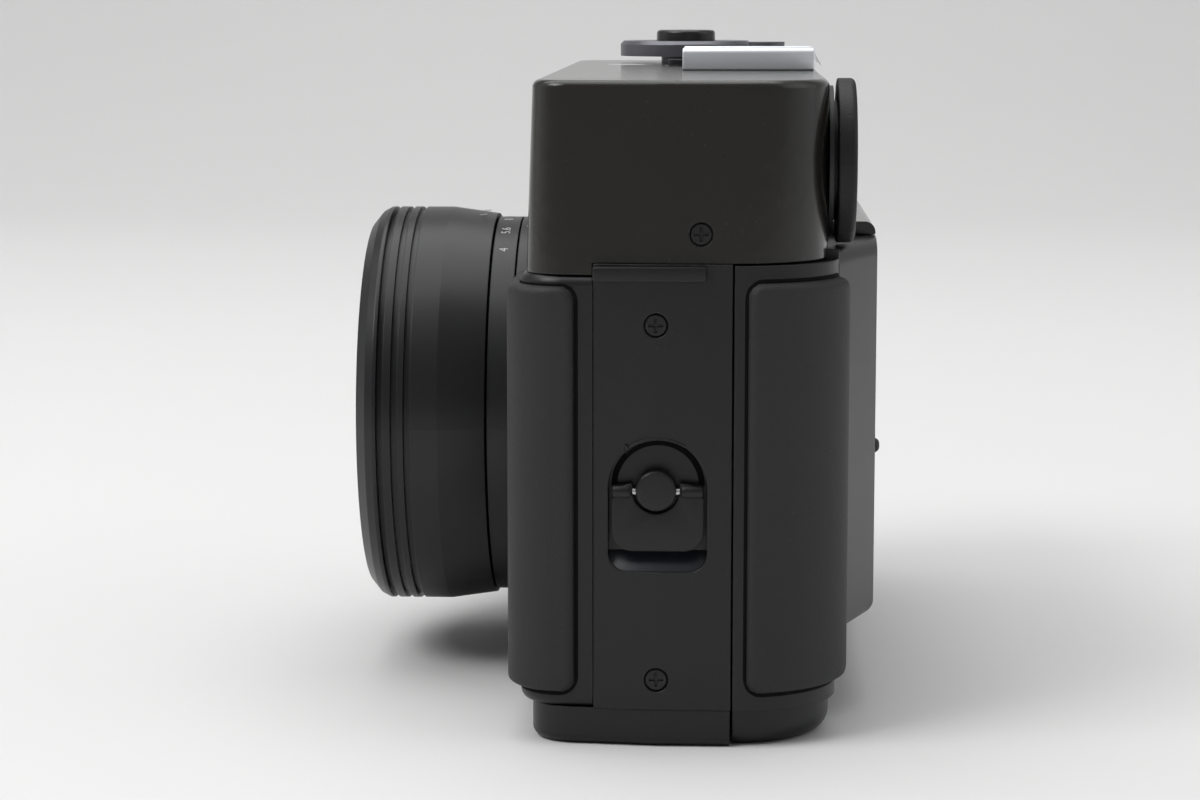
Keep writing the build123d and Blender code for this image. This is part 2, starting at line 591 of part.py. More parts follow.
# Rubber pads, which stand proud of the shells and wrap the corners
PAD_SIDE = 1.0
FRONT_PAD = (HALF_WIDTH - 30.5, -16.4, 8.2, SHELL_TOP - 1.7)
FRONT_PAD_PROUD = 2.0
DOOR_PAD = (RAISE_X, 9.8, 8.4, SHELL_TOP - 1.1)
DOOR_PAD_PROUD = 1.9

with BuildPart() as front_pad:
    x0, y1, z0, z1 = FRONT_PAD
    with BuildSketch(Plane.XY.offset(z0)):
        add(plan_face(-PAD_SIDE, -FRONT_PAD_PROUD))
        add(window(x0, BEYOND, -40, y1), mode=Mode.INTERSECT)
        add(plan_face(), mode=Mode.SUBTRACT)
    extrude(amount=z1 - z0)
save(front_pad, "front_pad")


def corner_pad(side, y0):
    """Build the rubber pad on one rear corner of the film door."""
    x0, _, z0, z1 = DOOR_PAD
    with BuildPart(mode=Mode.PRIVATE) as pad:
        with BuildSketch(Plane.XY.offset(z0)):
            add(plan_face(-PAD_SIDE, None, -DOOR_PAD_PROUD))
            x_inner, x_outer = sorted((side * x0, side * BEYOND))
            add(window(x_inner, x_outer, y0, 40), mode=Mode.INTERSECT)
            add(plan_face(), mode=Mode.SUBTRACT)
        extrude(amount=z1 - z0)
    return pad.part


with BuildPart() as door_pads:
    add(corner_pad(1, DOOR_PAD[1]))
    add(corner_pad(-1, DOOR_PAD[1] + 2.0))
save(door_pads, "door_pads")

# Hand grip on the photographer's right, with the battery tube inside
GRIP_WIDTH = 26.0
GRIP_FRONT = -34.5
GRIP_BOTTOM = 3.0
GRIP_TOP = 70.0
TUBE_WALL = 1.6
with BuildPart() as hand_grip:
    with BuildSketch(Plane.XY.offset(GRIP_BOTTOM)):
        with Locations((BATTERY_X, GRIP_FRONT + 12.0)):
            RectangleRounded(GRIP_WIDTH, 24.0, 8.5)
    extrude(amount=GRIP_TOP - GRIP_BOTTOM)
    fillet(hand_grip.faces().sort_by(Axis.Z)[-1].edges(), 2.5)
    fillet(hand_grip.faces().sort_by(Axis.Z)[0].edges(), 1.2)
    with BuildSketch(Plane.XY.offset(-1)):
        add(plan_face())
    extrude(amount=GRIP_TOP + 5, mode=Mode.SUBTRACT)
    upright(BATTERY_X, BATTERY_Y, BATTERY_R + BATTERY_PLAY + TUBE_WALL, GRIP_BOTTOM, TUBE_TOP)
    upright(BATTERY_X, BATTERY_Y, BATTERY_R + BATTERY_PLAY,
            GRIP_BOTTOM - 1, TUBE_TOP - TUBE_WALL, Mode.SUBTRACT)
save(hand_grip, "hand_grip")

with BuildPart() as batteries:
    for level in range(2):
        bottom = BATTERY_FLOOR + level * (BATTERY_LENGTH + BATTERY_PLAY)
        upright(BATTERY_X, BATTERY_Y, BATTERY_R, bottom, bottom + BATTERY_LENGTH - 1)
        upright(BATTERY_X, BATTERY_Y, 2.6, bottom + BATTERY_LENGTH - 1, bottom + BATTERY_LENGTH)
save(batteries, "batteries")

CAP_R = BATTERY_R + BATTERY_PLAY + 0.9
with BuildPart() as battery_cap:
    upright(BATTERY_X, BATTERY_Y, CAP_R, GRIP_BOTTOM - 1.6, GRIP_BOTTOM - SEAM)
    upright(BATTERY_X, BATTERY_Y, BATTERY_R + BATTERY_PLAY - RUNNING, GRIP_BOTTOM - SEAM, BATTERY_FLOOR - GAP)
    block(BATTERY_X - 6, BATTERY_X + 6, BATTERY_Y - 0.7, BATTERY_Y + 0.7, 0, GRIP_BOTTOM - 0.7, Mode.SUBTRACT)
save(battery_cap, "battery_cap")

# Circuit board behind the near side of the front shell.
with BuildPart() as circuit_board:
    low, high = BOARD_POSTS_X[0] - 3, BOARD_POSTS_X[1] + 3
    block(low, high, BOARD_Y - 1.2, BOARD_Y, BOARD_POSTS_Z[0] - 4, BOARD_POSTS_Z[1] + 4)
    for x, z, width, height in ((low + 9, 46, 9, 9), (high - 9, 30, 7, 12), (low + 11, 26, 6, 5)):
        block(x - width / 2, x + width / 2, BOARD_Y, BOARD_Y + 1.8, z - height / 2, z + height / 2)
save(circuit_board, "circuit_board")

# Lens mount ring on the body
MOUNT_Y = FRONT_Y - GAP
MOUNT_BORE = 22.5
with BuildPart() as mount_ring:
    axial(0, LENS_Z, MOUNT_PLATE_R, MOUNT_Y, FRAME_FRONT)
    axial(0, LENS_Z, MOUNT_BORE, MOUNT_Y - 1, 0, Mode.SUBTRACT)
    axial(RELEASE_PIN_X, LENS_Z, 1.3, MOUNT_Y - 1, 0, Mode.SUBTRACT)
save(mount_ring, "mount_ring")

with BuildPart() as lens_release:
    axial(RELEASE_X, LENS_Z, RELEASE_R, FRONT_Y - 2.7, BAR_Y + 1.0)
    fillet(lens_release.faces().sort_by(Axis.Y)[0].edges(), 0.5)
    block(RELEASE_X, RELEASE_PIN_X + 1.0, BAR_Y, BAR_Y + 1.8, LENS_Z - 1.8, LENS_Z + 1.8)
    axial(RELEASE_PIN_X, LENS_Z, 1.0, MOUNT_Y - 1.1, BAR_Y + 1)
save(lens_release, "lens_release")

# Lens barrel, all round the axis at LENS_Z
REAR_R = 32.2
BASE_Y = -28.4
BAYONET_R = MOUNT_BORE - 0.2
BAYONET_END = MOUNT_Y + 3.5
APERTURE_Y = (-32.6, -28.7)
FOCUS_Y = (-49.6, -32.9)
FOCUS_R = 33.9
FOCUS_REAR_R = 32.8
FOCUS_TAPER_Y = -40.6
GROOVES_Y = (-47.7, -45.6)
GROOVE_HALF = 0.5
GROOVE_DEPTH = 0.8
GUIDE_R = 27.2
GUIDE_FRONT = -48.0
GUIDE_BORE = 24.6
SKIRT_R = 32.35
SKIRT_END = -45.0
FRONT_RING_Y = (-54.1, -50.6)
FRONT_RIM_R = 31.2
FILTER_R = 28.6
FILTER_LENGTH = 3.0
CELL_R = 24.5
CELL_REAR_R = 19.0
CELL_BORE = 17.0
GLASS_R = 19.8
CELL_STEP_Y = -33.0
CELL_END_Y = -19.2
GLASS_SEAT_Y = -44.4
FRONT_GLASS_Y = -49.2
REAR_GLASS_Y = (-24.0, -20.6)
SHUTTER_Y = -36.0
SHUTTER_BORE = 9.0


def turned(points):
    """Spin a closed outline of (radius, y) points about the lens axis."""
    with BuildPart(mode=Mode.PRIVATE) as ring:
        with BuildSketch(Plane.XY.offset(LENS_Z)):
            with BuildLine():
                Polyline(*points, close=True)
            make_face()
        revolve(axis=Axis((0, 0, LENS_Z), (0, 1, 0)))
    add(ring.part)


with BuildPart() as lens_base:
    turned(((GUIDE_BORE, GUIDE_FRONT), (GUIDE_R, GUIDE_FRONT), (GUIDE_R, BASE_Y), (REAR_R, BASE_Y),
            (REAR_R, MOUNT_Y), (BAYONET_R, MOUNT_Y), (BAYONET_R, BAYONET_END), (BAYONET_R - 1.5, BAYONET_END),
            (BAYONET_R - 1.5, BASE_Y), (GUIDE_BORE, BASE_Y)))
    axial(RELEASE_PIN_X, LENS_Z, 1.3, MOUNT_Y - 1.4, MOUNT_Y + 1, Mode.SUBTRACT)
save(lens_base, "lens_base")

with BuildPart() as aperture_ring:
    y0, y1 = APERTURE_Y
    turned(((GUIDE_R + RUNNING, y0), (REAR_R, y0), (REAR_R, y1), (GUIDE_R + RUNNING, y1)))
save(aperture_ring, "aperture_ring")

with BuildPart() as focus_ring:
    front, back = FOCUS_Y
    outline = [(SKIRT_R + 0.1, front), (FOCUS_R, front)]
    for y in GROOVES_Y:
        low, high = y - GROOVE_HALF, y + GROOVE_HALF
        floor = FOCUS_R - GROOVE_DEPTH
        outline += [(FOCUS_R, low), (floor, low), (floor, high), (FOCUS_R, high)]
    outline += [(FOCUS_R, FOCUS_TAPER_Y), (FOCUS_REAR_R, back), (GUIDE_R + RUNNING, back)]
    outline += [(GUIDE_R + RUNNING, SKIRT_END + 0.6), (SKIRT_R + 0.1, SKIRT_END + 0.6)]
    turned(outline)
save(focus_ring, "focus_ring")

with BuildPart() as front_ring:
    front, back = FRONT_RING_Y
    floor = front + FILTER_LENGTH
    turned(((FILTER_R, front), (FRONT_RIM_R, front), (FOCUS_R - 0.7, front + 1.6), (FOCUS_R, back - 0.6),
            (FOCUS_R, back), (SKIRT_R, back), (SKIRT_R, SKIRT_END), (SKIRT_R - 1.1, SKIRT_END),
            (SKIRT_R - 1.1, back + 1.2), (CELL_R, back + 1.2), (CELL_R, floor), (GLASS_R + 0.3, floor),
            (GLASS_R + 0.3, floor - 0.3), (FILTER_R - 1.4, floor - 0.9), (FILTER_R, floor - 0.9)))
save(front_ring, "front_ring")

with BuildPart() as lens_cell:
    floor = FRONT_RING_Y[0] + FILTER_LENGTH
    turned(((GLASS_R, floor), (CELL_R, floor), (CELL_R, CELL_STEP_Y), (CELL_REAR_R, CELL_STEP_Y),
            (CELL_REAR_R, CELL_END_Y), (CELL_BORE, CELL_END_Y), (CELL_BORE, GLASS_SEAT_Y),
            (GLASS_R, GLASS_SEAT_Y)))
save(lens_cell, "lens_cell")

with BuildPart() as leaf_shutter:
    turned(((SHUTTER_BORE, SHUTTER_Y - 1.0), (CELL_BORE, SHUTTER_Y - 2.0), (CELL_BORE, SHUTTER_Y + 2.0),
            (SHUTTER_BORE, SHUTTER_Y + 0.4)))
save(leaf_shutter, "leaf_shutter")


def glass_disc(radius, y_front, y_back, bulge):
    """Build a lens element with a domed front and a flat back."""
    sphere = (radius**2 + bulge**2) / (2 * bulge)
    centre = y_front - bulge + sphere
    rim = degrees(atan2(y_front - centre, radius))
    with BuildPart(mode=Mode.PRIVATE) as disc:
        with BuildSketch(Plane.XY.offset(LENS_Z)):
            with BuildLine():
                CenterArc((0, centre), sphere, -90, rim + 90)
                Polyline((radius, y_front), (radius, y_back), (0, y_back), (0, y_front - bulge))
            make_face()
        revolve(axis=Axis((0, 0, LENS_Z), (0, 1, 0)))
    return disc.part


with BuildPart() as front_glass:
    add(glass_disc(GLASS_R, FRONT_GLASS_Y, GLASS_SEAT_Y - SEAM, 1.6))
save(front_glass, "front_glass")

with BuildPart() as rear_glass:
    add(glass_disc(CELL_BORE, *REAR_GLASS_Y, 0.5))
save(rear_glass, "rear_glass")

# Film door: a tray whose middle is raised for the pressure plate, hinged on the photographer's right
DOOR_Y = PART_Y + DOOR_GAP - SEAM
STEP_Z = 5.6
STEP_INSET = 1.0
RAISE_TOP_X = 40.0
RAISE_Z = 14.0
RAISE_WALL = 1.8
RAISE_ROUND = 2.5
MOUTH_LOW = 9.0
DOOR_RIM_ROUND = 3.0


def raised_plan(inset, forward):
    """Draw the raised middle of the door in plan, down to the line at forward."""
    with BuildSketch() as outline:
        with BuildLine():
            Polyline(
                (-RAISE_X + inset, forward),
                (RAISE_X - inset, forward),
                (RAISE_X - inset, BACK_Y - inset),
                (RAISE_TOP_X - inset / 2, RAISE_Y - inset),
                (-RAISE_TOP_X + inset / 2, RAISE_Y - inset),
                (-RAISE_X + inset, BACK_Y - inset),
                close=True,
            )
        make_face()
    return outline.sketch


with BuildPart() as raised_middle:
    with BuildSketch(Plane.XY.offset(RAISE_Z)):
        add(raised_plan(0, BACK_Y - 3))
    extrude(amount=DOOR_TOP - RAISE_Z)
    for end in (raised_middle.edges().filter_by_position(Axis.X, RAISE_TOP_X, RAISE_X),
                raised_middle.edges().filter_by_position(Axis.X, -RAISE_X, -RAISE_TOP_X)):
        top_edges = end.filter_by_position(Axis.Z, DOOR_TOP - 0.01, DOOR_TOP + 0.01)
        fillet(top_edges.sort_by(Axis.Y)[-1], RAISE_ROUND)
    lower_edges = raised_middle.edges().filter_by_position(Axis.Z, RAISE_Z - 0.01, RAISE_Z + 0.01)
    fillet(lower_edges.sort_by(Axis.Y)[-3:], RAISE_ROUND)

with BuildPart() as door_shell:
    with BuildSketch():
        add(plan_face(STEP_INSET))
        add(window(-BEYOND, BEYOND, DOOR_Y, 40), mode=Mode.INTERSECT)
    extrude(amount=STEP_Z)
    rim = door_shell.faces().sort_by(Axis.Z)[0].edges().filter_by_position(Axis.Y, DOOR_Y + 1, 40)
    fillet(rim, DOOR_RIM_ROUND)
    with BuildSketch(Plane.XY.offset(STEP_Z)):
        add(plan_face())
        add(window(-BEYOND, BEYOND, DOOR_Y, 40), mode=Mode.INTERSECT)
    extrude(amount=NEAR_DOOR_TOP - STEP_Z)
    with BuildSketch(Plane.XY.offset(NEAR_DOOR_TOP)):
        add(plan_face())
        add(window(-BEYOND, RAISE_X, DOOR_Y, 40), mode=Mode.INTERSECT)
    extrude(amount=DOOR_TOP - NEAR_DOOR_TOP)
    add(raised_middle.part)
    with BuildSketch(Plane.XY.offset(DOOR_WALL)):
        add(plan_face(DOOR_WALL + STEP_INSET))
        add(window(-BEYOND, BEYOND, 0, 40), mode=Mode.INTERSECT)
    extrude(amount=STEP_Z - DOOR_WALL, mode=Mode.SUBTRACT)
    with BuildSketch(Plane.XY.offset(STEP_Z)):
        add(plan_face(DOOR_WALL))
        add(window(-BEYOND, BEYOND, 0, 40), mode=Mode.INTERSECT)
    extrude(amount=NEAR_DOOR_TOP - DOOR_WALL - STEP_Z, mode=Mode.SUBTRACT)
    with BuildSketch(Plane.XY.offset(NEAR_DOOR_TOP - DOOR_WALL - 1)):
        add(plan_face(DOOR_WALL))
        add(window(-BEYOND, RAISE_X - DOOR_WALL, 0, 40), mode=Mode.INTERSECT)
    extrude(amount=DOOR_TOP - SHEET - NEAR_DOOR_TOP + DOOR_WALL + 1, mode=Mode.SUBTRACT)
    with BuildSketch(Plane.XY.offset(RAISE_Z + RAISE_WALL)):
        add(raised_plan(RAISE_WALL, 10))
    extrude(amount=DOOR_TOP - RAISE_WALL - RAISE_Z - RAISE_WALL, mode=Mode.SUBTRACT)
    block(-MOUTH_HALF - 0.8, MOUTH_HALF + 0.8, 0, FILM_Y + GAP, MOUTH_LOW, DOOR_TOP + 1, Mode.SUBTRACT)
    low, high = DOOR_KNUCKLE
    upright(HINGE_X, HINGE_Y, KNUCKLE_R, low, high)
    block(HINGE_X - 1.0, HINGE_X + 0.8, HINGE_Y, DOOR_Y + 2, low, high)
    upright(HINGE_X, HINGE_Y, HINGE_PIN_R + RUNNING, 0, 80, Mode.SUBTRACT)
    for bottom, top in FRAME_KNUCKLES:
        upright(HINGE_X, HINGE_Y, KNUCKLE_R + GAP, bottom - GAP, top + GAP, Mode.SUBTRACT)
save(door_shell, "door_shell")

with BuildPart() as hinge_pin:
    upright(HINGE_X, HINGE_Y, HINGE_PIN_R, FRAME_KNUCKLES[0][0], FRAME_KNUCKLES[1][1])
save(hinge_pin, "hinge_pin")

# Little dome on the door's raised middle.
PIN_DOME_Z = 40.0
with BuildPart() as door_stud:
    axial(30.0, PIN_DOME_Z, 1.2, RAISE_Y, RAISE_Y + 1.2)
    fillet(door_stud.faces().sort_by(Axis.Y)[-1].edges(), 0.9)
save(door_stud, "door_stud")

# Hooked tongue that the latch holds.
with BuildPart() as door_catch:
    block(CATCH_X, CATCH_X + 1.8, 1.0, DOOR_Y + 1, *CATCH_Z)
    block(CATCH_X, HALF_WIDTH - DOOR_WALL - 0.1, DOOR_Y + 0.2, DOOR_Y + 2.0, *CATCH_Z)
    block(CATCH_X + 1.8, CATCH_X + 2.6, 1.0, 2.4, *CATCH_Z)
save(door_catch, "door_catch")

# Pressure plate and its two leaf springs
PLATE_HALF = (27.0, 28.8)
PLATE_THICK = 2.0
with BuildPart() as pressure_plate:
    half_w, half_h = PLATE_HALF
    block(-half_w, half_w, FILM_Y + GAP, FILM_Y + GAP + PLATE_THICK, LENS_Z - half_h, LENS_Z + half_h)
    fillet(pressure_plate.edges().filter_by(Axis.Y), 3.0)
save(pressure_plate, "pressure_plate")

with BuildPart() as plate_springs:
    back = RAISE_Y - RAISE_WALL
    for z in (LENS_Z - 16, LENS_Z + 16):
        front = FILM_Y + 2 * GAP + PLATE_THICK + 1.0
        with BuildSketch(Plane.XY.offset(z - 4)):
            with BuildLine():
                Polyline((-20, front), (20, front), (20, front + 0.4), (9, back), (-9, back),
                         (-20, front + 0.4), close=True)
            make_face()
            with BuildLine():
                Polyline((-18, front + 0.4), (18, front + 0.4), (8.4, back - 0.4), (-8.4, back - 0.4),
                         close=True)
            make_face(mode=Mode.SUBTRACT)
        extrude(amount=8)
save(plate_springs, "plate_springs")

# Film rollers beside the gate.
for name, side in (("film_roller_left", 1), ("film_roller_right", -1)):
    with BuildPart() as roller:
        half = ROLLER_LENGTH / 2
        upright(side * ROLLER_X, roller_y, ROLLER_R, LENS_Z - half, LENS_Z + half)
        reach = half + JOURNAL_LENGTH
        upright(side * ROLLER_X, roller_y, JOURNAL_R, LENS_Z - reach, LENS_Z + reach)
    save(roller, name)

# Take-up spool, its drive key and the pegs that hold the spools
with BuildPart() as take_up_spool:
    low = CHAMBER_BOTTOM + SPOOL_END_PLAY
    high = low + SPOOL_LENGTH
    upright(-SPOOL_X, SPOOL_Y, CORE_R, low, high)
    upright(-SPOOL_X, SPOOL_Y, FLANGE_R, low, low + 1.2)
    upright(-SPOOL_X, SPOOL_Y, FLANGE_R, high - 1.2, high)
    upright(-SPOOL_X, SPOOL_Y, PEG_R + GAP, low - 1, low + 5, Mode.SUBTRACT)
    upright(-SPOOL_X, SPOOL_Y, PEG_R + GAP, high - 5, high + 1, Mode.SUBTRACT)
    reach = CORE_R + 1
    block(-SPOOL_X - 0.8, -SPOOL_X + 0.8, SPOOL_Y - reach, SPOOL_Y + reach, LENS_Z - 22, LENS_Z + 22,
          Mode.SUBTRACT)
save(take_up_spool, "take_up_spool")

PINION_Z = (TOP_Z - 14.2, TOP_Z - 11.2)
with BuildPart() as take_up_key:
    upright(-SPOOL_X, SPOOL_Y, PEG_R, CHAMBER_TOP - 3.2, CHAMBER_TOP - SPOOL_END_PLAY)
    upright(-SPOOL_X, SPOOL_Y, DRIVE_R, CHAMBER_TOP - 1, PINION_Z[1] + 1)
save(take_up_key, "take_up_key")

for name, side in (("supply_peg", 1), ("take_up_peg", -1)):
    with BuildPart() as peg:
        upright(side * SPOOL_X, SPOOL_Y, PEG_R, frame_rear_floor - 1.2, CHAMBER_BOTTOM + PEG_TIP)
        upright(side * SPOOL_X, SPOOL_Y, PEG_FLANGE_R, frame_rear_floor - 1.3, frame_rear_floor - SEAM)
        chamfer(peg.faces().sort_by(Axis.Z)[-1].edges(), 0.8)
    save(peg, name)

# Top controls
LEVER_R = 12.3
LEVER_Z = (TOP_Z + 1.2, TOP_Z + 4.0)
BUTTON_R = 5.5
BUTTON_Z = (TOP_Z + 3.6, TOP_Z + 6.0)
BUTTON_WELL_R = 5.9
BUTTON_TRAVEL = 1.5
LEVER_TUBE_BORE = 3.2
STEM_R = 2.5
ARM_END = (-39.0, 13.5)
ARM_HALF = 3.6
TEETH = (28, 14)
GEAR_BACKLASH = 0.22


def toothed_wheel(x, y, teeth, module, turn):
    """Draw a spur wheel: trapezoid teeth, thinned for backlash, on a root disc."""
    pitch_r = teeth * module / 2
    root_r = pitch_r - 1.2 * module
    tip_r = pitch_r + 0.75 * module
    step = 2 * pi / teeth
    with BuildSketch() as wheel:
        with Locations((x, y)):
            Circle(root_r + 0.02)
        for index in range(teeth):
            middle = turn + index * step
            outline = []
            for radius, share in ((root_r, 0.66), (pitch_r, 0.5 - GEAR_BACKLASH / 2), (tip_r, 0.26)):
                half = step * share / 2
                outline.insert(0, (x + radius * cos(middle - half), y + radius * sin(middle - half)))
                outline.append((x + radius * cos(middle + half), y + radius * sin(middle + half)))
            with BuildLine():
                Polyline(*outline, close=True)
            make_face()
    return wheel.sketch


gear_dx = -SPOOL_X - LEVER_X
gear_dy = SPOOL_Y - LEVER_Y
gear_module = 2 * hypot(gear_dx, gear_dy) / sum(TEETH)
gear_line = atan2(gear_dy, gear_dx)

# Advance lever: hub disc, arm and the tube that carries its gear.
with BuildPart() as advance_lever:
    upright(LEVER_X, LEVER_Y, LEVER_R, *LEVER_Z)
    chamfer(advance_lever.faces().sort_by(Axis.Z)[-1].edges(), 0.6)
    arm_x, arm_y = ARM_END
    length = hypot(arm_x - LEVER_X, arm_y - LEVER_Y)
    lean = degrees(atan2(arm_y - LEVER_Y, arm_x - LEVER_X))
    with BuildSketch(Plane.XY.offset(LEVER_Z[0])):
        with Locations(Location(((LEVER_X + arm_x) / 2, (LEVER_Y + arm_y) / 2), lean)):
            RectangleRounded(length + 2 * ARM_HALF, 2 * ARM_HALF, ARM_HALF - 0.1)
    extrude(amount=1.8)
    upright(*ARM_END, ARM_HALF - 0.3, LEVER_Z[0] + 1.0, LEVER_Z[0] + 2.8)
    upright(LEVER_X, LEVER_Y, LEVER_TUBE_R, PINION_Z[0] - 1, LEVER_Z[0])
    upright(LEVER_X, LEVER_Y, BUTTON_WELL_R, BUTTON_Z[0] - BUTTON_TRAVEL - 0.2, 110, Mode.SUBTRACT)
    upright(LEVER_X, LEVER_Y, LEVER_TUBE_BORE, 80, 110, Mode.SUBTRACT)
save(advance_lever, "advance_lever")

with BuildPart() as lever_gear:
    with BuildSketch(Plane.XY.offset(PINION_Z[0])):
        add(toothed_wheel(LEVER_X, LEVER_Y, TEETH[0], gear_module, gear_line))
        with Locations((LEVER_X, LEVER_Y)):
            Circle(LEVER_TUBE_R, mode=Mode.SUBTRACT)
    extrude(amount=PINION_Z[1] - PINION_Z[0])
save(lever_gear, "lever_gear")

with BuildPart() as spool_pinion:
    with BuildSketch(Plane.XY.offset(PINION_Z[0])):
        add(toothed_wheel(-SPOOL_X, SPOOL_Y, TEETH[1], gear_module, gear_line + pi + pi / TEETH[1]))
        with Locations((-SPOOL_X, SPOOL_Y)):
            Circle(DRIVE_R, mode=Mode.SUBTRACT)
    extrude(amount=PINION_Z[1] - PINION_Z[0])
save(spool_pinion, "spool_pinion")

with BuildPart() as shutter_button:
    upright(LEVER_X, LEVER_Y, BUTTON_R, *BUTTON_Z)
    fillet(shutter_button.faces().sort_by(Axis.Z)[-1].edges(), 0.7)
    upright(LEVER_X, LEVER_Y, STEM_R, PINION_Z[0] - 2, BUTTON_Z[0])
    upright(LEVER_X, LEVER_Y, 1.5, BUTTON_Z[1] - 5, 110, Mode.SUBTRACT)
save(shutter_button, "shutter_button")

# Shutter speed dial with the power switch ring beneath it.
DIAL_R = 9.5
DIAL_Z = (TOP_Z + 1.4, TOP_Z + 3.1)
RING_Z = (TOP_Z + 0.2, TOP_Z + 1.1)
with BuildPart() as shutter_dial:
    upright(DIAL_X, DIAL_Y, DIAL_R, *DIAL_Z)
    chamfer(shutter_dial.faces().sort_by(Axis.Z)[-1].edges(), 0.4)
    with BuildSketch(Plane.XY.offset(DIAL_Z[0])):
        with Locations((DIAL_X, DIAL_Y)):
            with PolarLocations(DIAL_R + 0.15, 36):
                Circle(0.4)
    extrude(amount=DIAL_Z[1] - DIAL_Z[0] - 0.5, mode=Mode.SUBTRACT)
    upright(DIAL_X, DIAL_Y, DIAL_SHAFT_R, TOP_Z - 5, DIAL_Z[0])
save(shutter_dial, "shutter_dial")

with BuildPart() as power_switch:
    upright(DIAL_X, DIAL_Y, DIAL_R + 1.2, *RING_Z)
    with BuildSketch(Plane.XY.offset(RING_Z[0])):
        with Locations((DIAL_X, DIAL_Y - DIAL_R - 1.2)):
            RectangleRounded(4.0, 5.0, 1.2)
    extrude(amount=RING_Z[1] - RING_Z[0])
    upright(DIAL_X, DIAL_Y, DIAL_SHAFT_R + RUNNING, TOP_Z - 5, TOP_Z + 5, Mode.SUBTRACT)
save(power_switch, "power_switch")

# Frame counter disc under its window.
with BuildPart() as counter_disc:
    upright(COUNTER_X, COUNTER_Y, 7.0, TOP_Z - 3.2, TOP_Z - 2.4)
    upright(COUNTER_X, COUNTER_Y, 1.0, frame_top + 10, TOP_Z - 3.2)
save(counter_disc, "counter_disc")

# Strap bars, one at each end under the top cover.
with BuildPart() as strap_bars:
    for side in (-1, 1):
        for y0, y1, near, far in ((-13.4, 3.4, 1.0, 1.9), (-13.4, -12.2, 0.0, 1.9), (1.0, 3.4, 0.0, 1.9)):
            x0, x1 = sorted((side * (HALF_WIDTH + near), side * (HALF_WIDTH + far)))
            block(x0, x1, y0, y1, PLATE_TOP - 2.5, PLATE_TOP - 0.2)
save(strap_bars, "strap_bars")


def cross_screw(place, direction, length):
    """Build a pan-head screw with a cross slot; direction points out of the head."""
    with BuildPart(mode=Mode.PRIVATE) as screw:
        with BuildSketch(Plane(origin=place, z_dir=direction)):
            Circle(SCREW_HEAD_R)
        extrude(amount=SCREW_SEAT - 0.2)
        fillet(screw.edges().sort_by(Axis(place, direction))[-1], 0.3)
        with BuildSketch(Plane(origin=place, z_dir=direction)):
            Circle(SCREW_R)
        extrude(amount=-length)
        top = Vector(*place) + Vector(*direction) * (SCREW_SEAT - 0.2)
        with BuildSketch(Plane(origin=top, z_dir=direction)):
            Rectangle(2.2, 0.45)
            Rectangle(0.45, 2.2)
        extrude(amount=-0.45, mode=Mode.SUBTRACT)
    return screw.part


with BuildPart() as cross_screws:
    for side in (-1, 1):
        for y, z in SIDE_SCREWS:
            add(cross_screw((side * (HALF_WIDTH - SCREW_SEAT), y, z), (side, 0, 0), PLATE_WALL - SCREW_SEAT))
        y, z = TOP_SCREW
        add(cross_screw((side * TOP_SCREW_SEAT, y, z), (side, 0, 0), 1.2))
    for x, y in BASE_SCREWS:
        add(cross_screw((x, y, SCREW_SEAT), (0, 0, -1), 4.0))
save(cross_screws, "cross_screws")
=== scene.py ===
# %% [markdown]
# # Dressing a roll-film rangefinder camera
# The object is a black camera for wide roll film, seen from its end. Its hard
# parts come ready made and in place, so this lesson gives them finishes, adds
# what a solid model leaves out, and lights it all. Everything is in metres,
# with the tripod socket at the origin, Z up and the lens looking along -Y.

# %% Load the finished solids
import json
import math
import bpy
from mathutils import Matrix, Vector


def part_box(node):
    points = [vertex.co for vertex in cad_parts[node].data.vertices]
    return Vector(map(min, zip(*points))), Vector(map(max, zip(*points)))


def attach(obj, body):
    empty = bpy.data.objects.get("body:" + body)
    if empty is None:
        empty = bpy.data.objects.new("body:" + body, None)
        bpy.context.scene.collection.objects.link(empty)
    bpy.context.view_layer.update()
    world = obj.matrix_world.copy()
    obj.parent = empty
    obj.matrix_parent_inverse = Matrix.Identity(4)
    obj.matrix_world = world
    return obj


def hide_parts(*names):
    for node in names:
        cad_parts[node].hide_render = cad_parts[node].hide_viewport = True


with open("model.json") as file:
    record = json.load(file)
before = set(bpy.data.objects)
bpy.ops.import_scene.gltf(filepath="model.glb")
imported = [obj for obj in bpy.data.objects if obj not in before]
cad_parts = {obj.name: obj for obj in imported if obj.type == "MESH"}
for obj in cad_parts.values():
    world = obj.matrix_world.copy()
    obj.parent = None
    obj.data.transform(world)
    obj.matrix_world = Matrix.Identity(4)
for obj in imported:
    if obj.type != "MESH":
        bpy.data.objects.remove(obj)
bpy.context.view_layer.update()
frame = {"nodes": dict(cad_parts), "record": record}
scene = bpy.context.scene

# %% [markdown]
# The picture was taken from the photographer's left, close to eye level with
# the top cover. A camera could be placed by eye, but straight edges that run
# away from us meet at one point, and that point gives the turn and the tilt.
# The heights of the case then give the distance and the lens.

# %% Place the camera
EYE = Vector((0.5085, 0.0062, 0.1125))
LOOK = Vector((-0.9899, -0.0421, -0.1352))
camera_data = bpy.data.cameras.new("end_view")
camera_data.lens = 88.8
camera_data.sensor_width = 36.0
camera = bpy.data.objects.new("end_view", camera_data)
scene.collection.objects.link(camera)
camera.location = EYE
camera.rotation_mode = "QUATERNION"
camera.rotation_quaternion = LOOK.to_track_quat("-Z", "Y")
scene.camera = camera
scene.view_settings.view_transform = "Standard"
print("eye", tuple(EYE), "lens", camera_data.lens)

# %% [markdown]
# All materials and shader groups are trees of nodes. Adding a node and linking
# its inputs one by one takes many lines, so a few helpers come first. One
# adds a node and feeds each input, by its label, with a link or a value.

